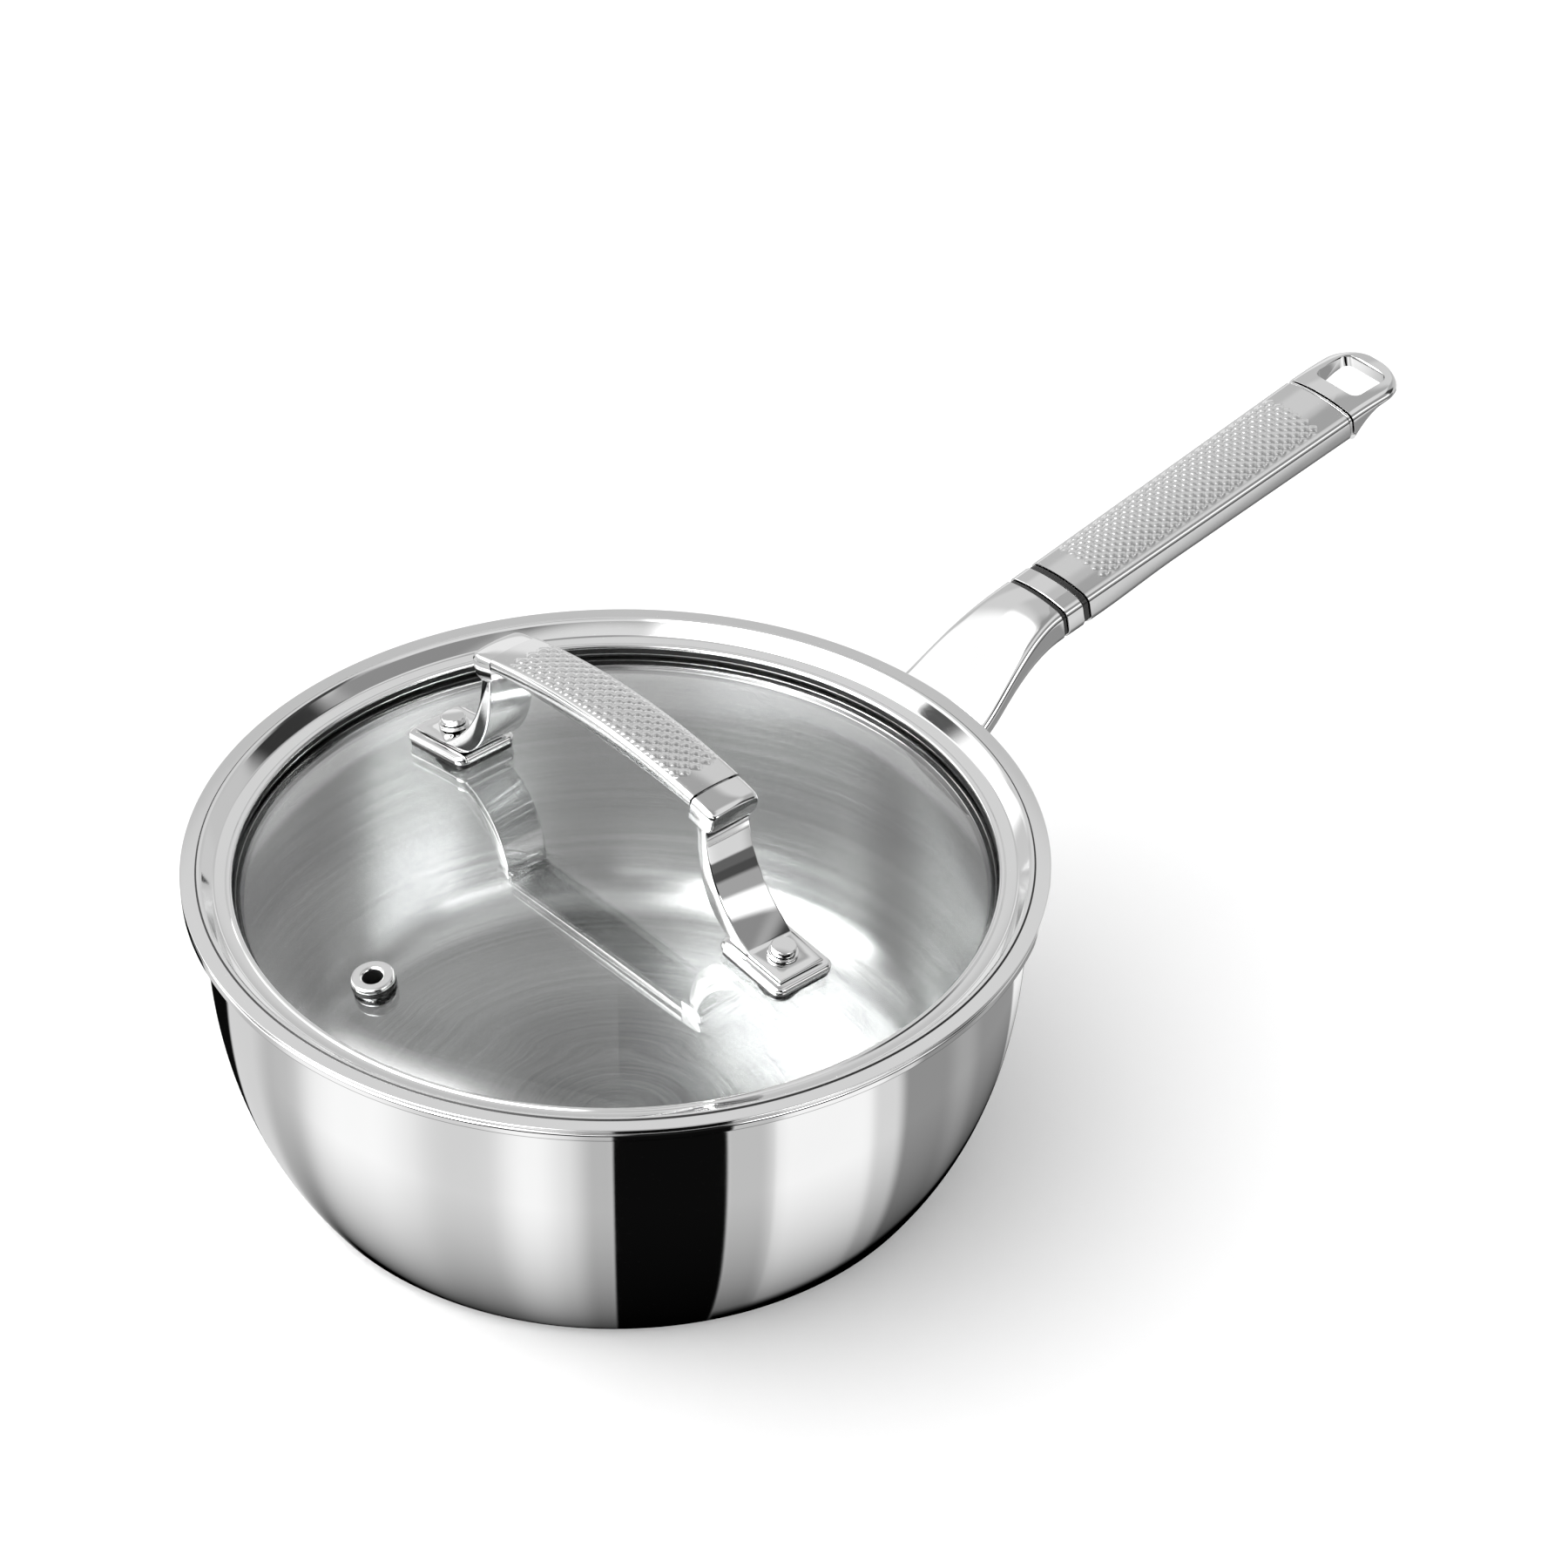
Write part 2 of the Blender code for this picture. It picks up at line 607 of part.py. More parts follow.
def offset_closed(points, inset):
    """Pulls a closed outline inward by a small amount at every corner."""
    out = []
    count = len(points)
    area = sum(points[i][0] * points[(i + 1) % count][1] - points[(i + 1) % count][0] * points[i][1]
               for i in range(count))
    turn = 1 if area > 0 else -1
    for i in range(count):
        here = Vector(points[i])
        a = (here - Vector(points[i - 1])).normalized()
        b = (Vector(points[(i + 1) % count]) - here).normalized()
        n = Vector((-(a.y + b.y), a.x + b.x)) * turn
        n.normalize()
        out.append(tuple(here + n * inset))
    return out


def lid_grip_top(y):
    return LID_GRIP_TOP - LID_GRIP_DROP * (y / LID_GRIP_Y) ** 2


def lid_grip_ring(y, width, thick, across, drop=0.0, crown=0.6, top_r=1.3, bottom_r=2.2):
    tilt = math.atan(-2 * LID_GRIP_DROP * y / LID_GRIP_Y ** 2)
    section = grip_section(width, thick, crown, top_r, bottom_r, across)
    top = lid_grip_top(y) - drop
    return [(x, y - h * math.sin(tilt), top + h * math.cos(tilt)) for x, h in section]


def lid_grip():
    across = round((LID_GRIP_W - 2.6) / (KNURL_PITCH[1] / 2))
    rows = round(2 * LID_KNURL_Y / (KNURL_PITCH[0] / 1.8))
    stations = [-LID_GRIP_Y, -(LID_GRIP_Y + LID_KNURL_Y) / 2]
    stations += [-LID_KNURL_Y + 2 * LID_KNURL_Y * i / rows for i in range(rows + 1)]
    stations += [(LID_GRIP_Y + LID_KNURL_Y) / 2, LID_GRIP_Y]
    rings = []
    for y in stations:
        slim = 1.2 * (y / LID_GRIP_Y) ** 2
        rings.append(lid_grip_ring(y, LID_GRIP_W - 0.4 * slim, LID_GRIP_T - slim, across))
    first, last = 3, 1 + rows
    knurled(rings, across, first, last, Vector((0, 0, 1)))
    verts, faces = skin(rings)
    faces = triangulate_top(faces, len(rings[0]), across, first - 1, last + 1)
    grip = add("lid_grip", verts, faces, BRUSHED)
    pockets = []
    for side in (1, -1):
        rings = []
        for y in (31.0, 45.0):
            middle = lid_grip_top(36.0) - 2.6 - 0.18 * (y - 36.0)
            rings.append([(x, side * y, middle + h) for x, h in
                          ((-5.3, -1.3), (5.3, -1.3), (5.3, 1.3), (-5.3, 1.3))])
        pockets.append(loft("grip_pocket", rings, STEEL, False))
    return cut(grip, pockets)


def lid_cap(side, tag):
    """End cap: a tongue that enters the grip, then a rounded block that takes the leg."""
    rings = []
    for y in (31.6, LID_GRIP_Y + GAP):
        middle = lid_grip_top(36.0) - 2.6 - 0.18 * (y - 36.0)
        flat = [(-5.0, -1.0), (5.0, -1.0), (5.0, 1.0), (-5.0, 1.0)]
        rings.append([(x, side * y, middle + h) for x, h in flat])
    tongue = loft("cap_tongue", rings, STEEL, False)
    start = LID_GRIP_Y + GAP
    rings = []
    for i in range(13):
        t = i / 12
        y = start + (CAP_END_Y - start) * math.sin(t * math.pi / 2)
        swell = math.sqrt(max(0.0, 1 - ((y - start) / (CAP_END_Y + 0.15 - start)) ** 6))
        width = (LID_GRIP_W - 0.4) * (0.86 + 0.14 * swell)
        thick = 4.0 + (CAP_T - 4.0) * swell
        drop = 0.35 + 0.9 * (1 - swell)
        rings.append(lid_grip_ring(side * y, width, thick, 6, drop, 0.6, 1.5, 1.9))
    cap = loft("lid_cap_" + tag, rings, STEEL)
    join = cap.modifiers.new("tongue", "BOOLEAN")
    join.operation = "UNION"
    join.solver = "EXACT"
    join.object = tongue
    bpy.context.view_layer.objects.active = cap
    bpy.ops.object.modifier_apply(modifier=join.name)
    bpy.data.objects.remove(tongue, do_unlink=True)
    slot = [[(x, side * y, z) for x, y in ((-LEG_W / 2 - GAP, 38.5), (LEG_W / 2 + GAP, 38.5),
                                           (LEG_W / 2 + GAP, 43.0), (-LEG_W / 2 - GAP, 43.0))]
            for z in (110.0, LEG_OUTER[0][1] + GAP)]
    return cut(cap, [loft("cap_slot", slot, STEEL, False)])


def main():
    for obj in list(bpy.data.objects):
        bpy.data.objects.remove(obj, do_unlink=True)
    pan_body()
    handle_neck()
    joint_ring("front_seal_ring", FRONT_SEAL, SILICONE)
    handle_collar()
    joint_ring("rear_seal_ring", REAR_SEAL, SILICONE)
    handle_grip()
    joint_ring("tail_ring", TAIL_RING, STEEL)
    handle_end_loop()
    handle_tie_rod()
    lid_rim()
    lid_glass()
    vent()
    lid_grip()
    for side, tag in ((1, "left"), (-1, "right")):
        foot_hardware(side, tag)
        leg(side, tag)
        lid_cap(side, tag)


main()
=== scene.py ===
"""Looks of the saucepan with a glass lid: fine meshes, metal, glass and rubber finishes, a plain
white floor, and a studio whose softboxes and flags show in the polished steel.

Sizes are in millimetres in the row frame (the pan on Z = 0 around the Z axis, the long handle
along +X, the lid handle along Y) and are scaled by MM when meshed."""

import math

import bmesh
import bpy
from mathutils import Matrix, Vector

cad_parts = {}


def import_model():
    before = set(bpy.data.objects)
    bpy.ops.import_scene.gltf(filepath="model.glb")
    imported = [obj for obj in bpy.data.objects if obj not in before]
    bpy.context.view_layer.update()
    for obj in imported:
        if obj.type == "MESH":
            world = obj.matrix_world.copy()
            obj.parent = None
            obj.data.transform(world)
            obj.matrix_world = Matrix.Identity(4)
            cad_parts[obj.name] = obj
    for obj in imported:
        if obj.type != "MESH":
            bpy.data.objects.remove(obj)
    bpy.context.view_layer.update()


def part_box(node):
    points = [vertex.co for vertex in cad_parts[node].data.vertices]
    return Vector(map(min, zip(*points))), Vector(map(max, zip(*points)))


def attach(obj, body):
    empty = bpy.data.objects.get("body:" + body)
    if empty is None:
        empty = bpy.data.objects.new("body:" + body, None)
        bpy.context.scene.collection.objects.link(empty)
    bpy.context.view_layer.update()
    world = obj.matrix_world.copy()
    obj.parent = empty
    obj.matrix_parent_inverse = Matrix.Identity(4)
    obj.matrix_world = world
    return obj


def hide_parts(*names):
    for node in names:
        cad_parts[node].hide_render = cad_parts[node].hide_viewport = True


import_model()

MM = 0.001


def high(node, axis):
    """Upper bound of a CAD node along an axis, in millimetres."""
    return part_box(node)[1][axis] / MM


GAP = 0.3                       # clearance left between pieces that touch
TURN = 288                      # segments round the pan and the lid
SMALL_TURN = 64                 # segments round studs, nuts and the vent
ARC = 8                         # steps in a rounded corner

# pan body
WALL = 2.5
FLOOR = 4.6
RIM_R = high("pan_body", 0)
RIM_TOP = high("pan_body", 2)
BODY_R = RIM_R - 5.4
INNER_R = BODY_R - WALL
RIM_UNDER = RIM_TOP - 2.6
WALL_TOP = RIM_TOP - 10.9
WALL_CURVE = ((BODY_R, WALL_TOP), (BODY_R, 45.0), (BODY_R - 4.9, 23.0), (BODY_R - 16.9, 4.6))
WALL_STEPS = 40
BASE_R = 81.6                   # corner between the flat base and the wall's foot
BASE_ROUND = 6.0
FILLET_TOP = 11.5               # where the inside wall begins to turn into the floor
FILLET_STEPS = 14
FLAT_FLOOR_R = 69.0

# lid rim
FLANGE_R = high("lid_rim", 0)
FLANGE_TOP = high("lid_rim", 2) - 0.35
SHEET = 0.8
RIDGE_R = FLANGE_R - 4.5
SLOPE_FOOT_R = FLANGE_R - 8.1
PLATEAU_Z = FLANGE_TOP - 3.1
LIP_R = FLANGE_R - 12.7
LIP_BOTTOM = FLANGE_TOP - 5.8
SKIRT_R = FLANGE_R - 8.7
HEM_R = FLANGE_R - 12.1
HEM_TOP = FLANGE_TOP - 11.1

# lid glass
GLASS_R = high("lid_glass", 0)
GLASS_T = 3.2
DOME_TOP = high("lid_glass", 2)
DOME_RADIUS = 460.0
SHOULDER_R = 76.0
SHOULDER_K = 0.0069

# vent
VENT_X = -76.0
VENT_BORE_R = 2.4
VENT_TUBE_R = 3.4
VENT_HEAD_R = 5.5

# lid handle
FOOT_Y = 59.6
FOOT_L = 23.0
FOOT_W = 18.4
STUD_OFFSET = 2.2
STUD_R = 2.2
STUD_BORE_R = 2.6
GLASS_BORE_R = 3.2
LEG_W = 14.0
LEG_OUTER = ((42.5, 120.0), (41.6, 109.0), (46.5, 98.5))
LEG_INNER = ((39.0, 120.0), (38.6, 107.0), (41.0, 94.5))
LID_GRIP_Y = high("lid_grip", 1)
LID_GRIP_TOP = 130.2
LID_GRIP_DROP = 3.6
LID_GRIP_W = 16.0
LID_GRIP_T = 6.0
LID_GRIP_TOP_R = 1.3
LID_GRIP_CROWN = 0.6
TONGUE_Y = 36.0                 # where the cap's tongue is measured from the top line
LID_KNURL_Y = 31.5
CAP_END_Y = high("lid_cap_left", 1)
CAP_T = 8.0

# long handle
NECK_CURVE = ((98.0, 76.6), (112.0, 78.2), (122.0, 95.5), (139.0, 98.4))
NECK_ROOT_W = 32.6
NECK_ROOT_T = 6.0
RUN_W = 21.5
RUN_T = 11.4
RUN_WIDENING = 0.026            # width gained per millimetre along the run
RUN_THINNING = 1.0              # thickness lost behind the collar
RUN_CROWN = 1.5
RUN_TOP_R = 2.2
RUN_BOTTOM_R = 5.0
RUN_X, RUN_Z = NECK_CURVE[3]
RUN_TILT = math.atan2(NECK_CURVE[3][1] - NECK_CURVE[2][1], NECK_CURVE[3][0] - NECK_CURVE[2][0])
FRONT_SEAL = (0.3, 1.3)
COLLAR = (1.6, 7.0)
REAR_SEAL = (7.3, 8.9)
GRIP = (9.2, 101.0)
KNURL = (16.8, 92.4)
TAIL_RING = (101.3, 102.0)
LOOP = (102.3, 122.6)
LOOP_HOLE = (107.3, 119.2)
LOOP_HOLE_W = 15.4
LOOP_CORNER = 8.0
LOOP_END_T = 3.9
LOOP_DROP = 1.7                 # how far the loop's top bends down at its end
GRIP_WALL = 1.3
ROD_R = 2.2
ROD_DEPTH = 4.8
ROD_SPAN = (-8.0, 104.6)

# knurling: length and width of a diamond, and its height
KNURL_CELL = (3.08, 3.12)
LID_KNURL_CELL = (3.6, 3.5)
KNURL_RISE = 0.24
LID_KNURL_RISE = 0.34
KNURL_STEPS = 8                 # mesh steps across one diamond, an even number


# ---------------------------------------------------------------- profiles and curves

def bezier(p, t):
    a, b, c, d = (1 - t) ** 3, 3 * t * (1 - t) ** 2, 3 * t * t * (1 - t), t ** 3
    return (a * p[0][0] + b * p[1][0] + c * p[2][0] + d * p[3][0],
            a * p[0][1] + b * p[1][1] + c * p[2][1] + d * p[3][1])


def bezier_points(p, count):
    return [bezier(p, i / count) for i in range(count + 1)]


def smooth(lo, hi, x):
    t = min(1.0, max(0.0, (x - lo) / (hi - lo)))
    return t * t * (3 - 2 * t)


def offset_left(points, distance):
    """Moves an open polyline sideways, to the left of its direction of travel."""
    out = []
    for i, (x, y) in enumerate(points):
        x0, y0 = points[max(i - 1, 0)]
        x1, y1 = points[min(i + 1, len(points) - 1)]
        length = math.hypot(x1 - x0, y1 - y0)
        out.append((x - distance * (y1 - y0) / length, y + distance * (x1 - x0) / length))
    return out


def filleted(corners, steps=ARC):
    """Closed outline from corners (x, y, radius); radius 0 keeps the corner sharp."""
    out = []
    for i, (x, y, radius) in enumerate(corners):
        if radius == 0:
            out.append((x, y))
            continue
        here = Vector((x, y))
        back = (Vector(corners[i - 1][:2]) - here).normalized()
        ahead = (Vector(corners[(i + 1) % len(corners)][:2]) - here).normalized()
        half = back.angle(ahead) / 2
        start = here + back * radius / math.tan(half)
        centre = here + (back + ahead).normalized() * radius / math.sin(half)
        arm = start - centre
        sweep = math.pi - 2 * half
        if back.x * ahead.y - back.y * ahead.x > 0:
            sweep = -sweep
        for k in range(steps + 1):
            out.append(tuple(centre + Matrix.Rotation(sweep * k / steps, 2) @ arm))
    return out


def rounded_rect(length, width, radius, steps=ARC):
    a, b = length / 2, width / 2
    return filleted([(a, -b, radius), (a, b, radius), (-a, b, radius), (-a, -b, radius)], steps)


def corner(cx, cy, radius, start, end, steps):
    """Points of an arc, leaving out its last one; angles in degrees."""
    out = []
    for k in range(steps):
        a = math.radians(start + (end - start) * k / steps)
        out.append((cx + radius * math.cos(a), cy + radius * math.sin(a)))
    return out


def grip_section(width, thick, crown, top_r, bottom_r, across):
    """Handle cross-section (y, z): crowned top with its middle at z = 0, rounded underside."""
    half = width / 2
    flat = half - top_r
    points = [(-flat + 2 * flat * i / across, 0.0) for i in range(across)]
    points += corner(flat, -top_r, top_r, 90, 0, ARC)
    points += corner(half - bottom_r, bottom_r - thick, bottom_r, 0, -90, 2 * ARC)
    points += corner(bottom_r - half, bottom_r - thick, bottom_r, -90, -180, 2 * ARC)
    points += corner(-flat, -top_r, top_r, 180, 90, ARC)
    return [(y, z - crown * (y / half) ** 2 * max(0.0, 1 + z / thick)) for y, z in points]


# ---------------------------------------------------------------- mesh building

def mesh_object(name, verts, faces, sharp=32.0):
    """One smooth-shaded, outward-facing object, with its folds over `sharp` degrees kept."""
    mesh = bpy.data.meshes.new(name)
    mesh.from_pydata([Vector(v) * MM for v in verts], [], faces)
    bm = bmesh.new()
    bm.from_mesh(mesh)
    bmesh.ops.remove_doubles(bm, verts=bm.verts, dist=1e-7)
    bmesh.ops.recalc_face_normals(bm, faces=bm.faces)
    bm.to_mesh(mesh)
    bm.free()
    mesh.shade_smooth()
    mesh.set_sharp_from_angle(angle=math.radians(sharp))
    obj = bpy.data.objects.new(name, mesh)
    bpy.context.collection.objects.link(obj)
    return obj


def revolve(name, profile, place=None, segments=TURN, sharp=32.0):
    """Turns a closed (radius, height) outline round the local Z axis."""
    count = len(profile)
    verts, faces = [], []
    for k in range(segments):
        a = 2 * math.pi * k / segments
        c, s = math.cos(a), math.sin(a)
        verts += [(r * c, r * s, z) for r, z in profile]
    for k in range(segments):
        here, there = k * count, ((k + 1) % segments) * count
        for i in range(count):
            j = (i + 1) % count
            faces.append((here + i, there + i, there + j, here + j))
    if place is not None:
        verts = [place @ Vector(v) for v in verts]
    return mesh_object(name, verts, faces, sharp)


def turned(name, profile, place=None, segments=SMALL_TURN, sharp=32.0):
    """Turns an open (radius, height) outline whose ends lie on the local Z axis."""
    inner = profile[1:-1]
    verts = [(0, 0, profile[0][1]), (0, 0, profile[-1][1])]
    faces = []
    count = len(inner)
    for k in range(segments):
        a = 2 * math.pi * k / segments
        c, s = math.cos(a), math.sin(a)
        verts += [(r * c, r * s, z) for r, z in inner]
    for k in range(segments):
        here, there = 2 + k * count, 2 + ((k + 1) % segments) * count
        faces.append((0, there, here))
        faces.append((1, here + count - 1, there + count - 1))
        for i in range(count - 1):
            faces.append((here + i, there + i, there + i + 1, here + i + 1))
    if place is not None:
        verts = [place @ Vector(v) for v in verts]
    return mesh_object(name, verts, faces, sharp)


def skin(rings, closed_ends=True):
    """Faces over successive rings of equal size, with both end rings capped if asked."""
    size = len(rings[0])
    verts = [v for ring in rings for v in ring]
    faces = []
    for k in range(len(rings) - 1):
        for i in range(size):
            j = (i + 1) % size
            a, b = k * size, (k + 1) * size
            faces.append((a + i, a + j, b + j, b + i))
    if closed_ends:
        faces.append(tuple(range(size)))
        faces.append(tuple(range((len(rings) - 1) * size, len(rings) * size)))
    return verts, faces


def loft(name, rings, sharp=32.0):
    verts, faces = skin(rings)
    return mesh_object(name, verts, faces, sharp)


def combine(obj, tools, operation="DIFFERENCE", sharp=32.0):
    """Cuts the tools from the object, or joins them to it, and removes them."""
    for tool in tools:
        mod = obj.modifiers.new(tool.name, "BOOLEAN")
        mod.operation = operation
        mod.solver = "EXACT"
        mod.object = tool
        bpy.context.view_layer.objects.active = obj
        bpy.ops.object.modifier_apply(modifier=mod.name)
        bpy.data.objects.remove(tool, do_unlink=True)
    obj.data.shade_smooth()
    obj.data.set_sharp_from_angle(angle=math.radians(sharp))
    return obj


def soften(obj, width, angle=40.0, segments=2):
    """Rounds the sharp edges a little, so that they catch the light."""
    mod = obj.modifiers.new("edge", "BEVEL")
    mod.width = width * MM
    mod.segments = segments
    mod.limit_method = "ANGLE"
    mod.angle_limit = math.radians(angle)
    mod.harden_normals = True
    return obj


def drill(name, radius, bottom, top, place, segments=SMALL_TURN):
    return turned(name, [(0, bottom), (radius, bottom), (radius, top), (0, top)], place, segments)


# ---------------------------------------------------------------- places on the object

def glass_height(r):
    sag = DOME_RADIUS - math.sqrt(DOME_RADIUS ** 2 - r * r)
    return DOME_TOP - sag - SHOULDER_K * max(0.0, r - SHOULDER_R) ** 2


def glass_frame(x, y):
    """Frame on the glass: local Z leaves the dome squarely, local X points outward."""
    r = math.hypot(x, y)
    lean = math.asin(r / DOME_RADIUS)
    heading = Matrix.Rotation(math.atan2(y, x), 4, "Z")
    return Matrix.Translation((x, y, glass_height(r))) @ heading @ Matrix.Rotation(lean, 4, "Y")


def run_point(d, y, z):
    """Point on the straight run of the long handle: d along it, z away from its top line."""
    return (RUN_X + d * math.cos(RUN_TILT) - z * math.sin(RUN_TILT), y,
            RUN_Z + d * math.sin(RUN_TILT) + z * math.cos(RUN_TILT))


def run_frame():
    return (Matrix.Translation((RUN_X, 0, RUN_Z)) @ Matrix.Rotation(-RUN_TILT, 4, "Y")
            @ Matrix.Translation((0, 0, -ROD_DEPTH)) @ Matrix.Rotation(math.pi / 2, 4, "Y"))


def run_width(d):
    return RUN_W + RUN_WIDENING * d


def run_thick(d):
    return RUN_T - RUN_THINNING * smooth(12, 40, d)


def run_section(d, inset=0.0, across=24):
    return grip_section(run_width(d) - 2 * inset, run_thick(d) - 2 * inset, RUN_CROWN,
                        RUN_TOP_R - min(inset, 0.9), RUN_BOTTOM_R - inset, across)


def run_ring(d, inset=0.0, across=24):
    return [run_point(d, y, z - inset) for y, z in run_section(d, inset, across)]


# ---------------------------------------------------------------- node materials

def new_material(name, colour, metallic, roughness):
    """A Principled material, with its node tree and its shader node."""
    mat = bpy.data.materials.new(name)
    mat.use_nodes = True
    tree = mat.node_tree
    shader = tree.nodes["Principled BSDF"]
    shader.inputs["Base Color"].default_value = (*colour, 1.0)
    shader.inputs["Metallic"].default_value = metallic
    shader.inputs["Roughness"].default_value = roughness
    return mat, tree, shader


def node(tree, kind, inputs=(), **settings):
    """Adds a node; an input is either linked from a socket or set to a constant."""
    made = tree.nodes.new(kind)
    for key, value in settings.items():
        setattr(made, key, value)
    for key, value in inputs:
        if isinstance(value, bpy.types.NodeSocket):
            tree.links.new(value, made.inputs[key])
        else:
            made.inputs[key].default_value = value
    return made


def math_node(tree, operation, a, b=0.0, c=0.0, clamp=False):
    return node(tree, "ShaderNodeMath", [(0, a), (1, b), (2, c)], operation=operation,
                use_clamp=clamp).outputs[0]


def span(tree, value, lo, hi, out_lo, out_hi, kind="SMOOTHSTEP"):
    return node(tree, "ShaderNodeMapRange", [("Value", value), (1, lo), (2, hi), (3, out_lo),
                                             (4, out_hi)], interpolation_type=kind).outputs[0]


def place_vector(tree):
    """Object coordinates in millimetres."""
    coords = node(tree, "ShaderNodeTexCoord").outputs["Object"]
    return node(tree, "ShaderNodeVectorMath", [(0, coords), ("Scale", 1 / MM)],
                operation="SCALE").outputs[0]


def noise(tree, vector, scale, detail=3.0, roughness=0.55):
    return node(tree, "ShaderNodeTexNoise", [("Vector", vector), ("Scale", scale),
                                             ("Detail", detail), ("Roughness", roughness)]
                ).outputs["Fac"]


def tint(tree, factor, dark, light):
    """Grey between two levels, driven by a factor."""
    ramp = node(tree, "ShaderNodeMix", [(0, factor), (6, (*dark, 1.0)), (7, (*light, 1.0))],
                data_type="RGBA")
    return ramp.outputs[2]


def bump(tree, height, strength, distance, shader):
    made = node(tree, "ShaderNodeBump", [("Height", height), ("Strength", strength),
                                         ("Distance", distance * MM)])
    tree.links.new(made.outputs[0], shader.inputs["Normal"])


def polished_steel(name, level=0.84, rough=(0.015, 0.05)):
    """Mirror steel: faint clouding from wiping, hair-fine polishing marks."""
    mat, tree, shader = new_material(name, (level,) * 3, 1.0, rough[0])
    where = place_vector(tree)
    clouds = noise(tree, where, 0.035, 4.0)
    hairs = noise(tree, node(tree, "ShaderNodeMapping", [("Vector", where),
                                                         ("Scale", (0.12, 0.9, 3.0))]).outputs[0],
                  1.6, 5.0, 0.7)
    mixed = math_node(tree, "MULTIPLY", clouds, hairs)
    tree.links.new(span(tree, mixed, 0.1, 0.45, rough[0], rough[1]), shader.inputs["Roughness"])
    tree.links.new(tint(tree, clouds, (level - 0.025,) * 3, (level + 0.02,) * 3),
                   shader.inputs["Base Color"])
    bump(tree, hairs, 0.02, 0.05, shader)
    return mat


def round_brushed_steel(name, level=0.55):
    """Circular brushing about the Z axis: long fine scratches, highlights drawn across them."""
    mat, tree, shader = new_material(name, (level,) * 3, 1.0, 0.3)
    where = place_vector(tree)
    axes = node(tree, "ShaderNodeSeparateXYZ", [(0, where)]).outputs
    radius = math_node(tree, "SQRT", math_node(
        tree, "ADD", math_node(tree, "MULTIPLY", axes[0], axes[0]),
        math_node(tree, "MULTIPLY", axes[1], axes[1])))
    turn = math_node(tree, "ARCTAN2", axes[1], axes[0])
    around = node(tree, "ShaderNodeCombineXYZ", [(0, math_node(tree, "COSINE", turn)),
                                                 (1, math_node(tree, "SINE", turn))]).outputs[0]
    along = math_node(tree, "SUBTRACT", radius, axes[2])

    def scratches(length, pitch, detail):
        spread = node(tree, "ShaderNodeVectorMath", [(0, around), ("Scale", length)],
                      operation="SCALE").outputs[0]
        lift = node(tree, "ShaderNodeCombineXYZ", [(2, math_node(tree, "MULTIPLY", along, pitch))]
                    ).outputs[0]
        joined = node(tree, "ShaderNodeVectorMath", [(0, spread), (1, lift)], operation="ADD")
        return noise(tree, joined.outputs[0], 1.0, detail, 0.6)

    fine = scratches(0.7, 4.0, 3.0)
    broad = scratches(0.5, 1.1, 4.0)
    mixed = math_node(tree, "ADD", math_node(tree, "MULTIPLY", fine, 0.5),
                      math_node(tree, "MULTIPLY", broad, 0.5))
    shade = span(tree, mixed, 0.32, 0.68, 0.0, 1.0, "LINEAR")
    tree.links.new(tint(tree, shade, (level - 0.11,) * 3, (level + 0.11,) * 3),
                   shader.inputs["Base Color"])
    tree.links.new(span(tree, broad, 0.3, 0.7, 0.20, 0.25), shader.inputs["Roughness"])
    shader.inputs["Anisotropic"].default_value = 0.85
    shader.inputs["Anisotropic Rotation"].default_value = 0.25
    tangent = node(tree, "ShaderNodeTangent", direction_type="RADIAL", axis="Z")
    tree.links.new(tangent.outputs[0], shader.inputs["Tangent"])
    return mat


def satin_steel(name, level=0.80, rough=(0.07, 0.12)):
    """Bead-finished steel of the grips: fine even grain, with painted shade darkening the knurl's
    grooves.
    """
    mat, tree, shader = new_material(name, (level,) * 3, 1.0, rough[0])
    where = place_vector(tree)
    grain = noise(tree, where, 5.0, 4.0, 0.7)
    patches = noise(tree, where, 0.09, 2.0)
    tree.links.new(span(tree, patches, 0.3, 0.7, rough[0], rough[1]), shader.inputs["Roughness"])
    # painted shade: the base colour falls where pointiness is low, in the knurl's grooves where
    # shade gathers
    hollow = node(tree, "ShaderNodeNewGeometry").outputs["Pointiness"]
    painted_groove_shade = span(tree, hollow, 0.47, 0.497, 0.25, 1.0)
    tone = span(tree, grain, 0.0, 1.0, level - 0.06, level + 0.04, "LINEAR")
    tree.links.new(math_node(tree, "MULTIPLY", tone, painted_groove_shade), shader.inputs["Base Color"])
    bump(tree, grain, 0.05, 0.03, shader)
    return mat


def dark_rubber(name):
    """Black heat-proof silicone with a soft sheen and a faint moulded grain."""
    mat, tree, shader = new_material(name, (0.012,) * 3, 0.0, 0.3)
    where = place_vector(tree)
    grain = noise(tree, where, 3.0, 3.0)
    tree.links.new(span(tree, grain, 0.3, 0.7, 0.2, 0.36), shader.inputs["Roughness"])
    tree.links.new(tint(tree, grain, (0.008,) * 3, (0.02,) * 3), shader.inputs["Base Color"])
    bump(tree, grain, 0.15, 0.04, shader)
    return mat


def clear_glass(name):
    """Tempered clear glass with very faint wiping haze."""
    mat, tree, shader = new_material(name, (0.97, 0.985, 0.98), 0.0, 0.0)
    shader.inputs["Transmission Weight"].default_value = 1.0
    shader.inputs["IOR"].default_value = 1.5
    shader.inputs["Coat Weight"].default_value = 1.0
    shader.inputs["Coat IOR"].default_value = 1.75
    shader.inputs["Coat Roughness"].default_value = 0.0
    where = place_vector(tree)
    haze = noise(tree, where, 0.05, 5.0, 0.65)
    tree.links.new(span(tree, haze, 0.45, 0.8, 0.0, 0.02), shader.inputs["Roughness"])
    return mat


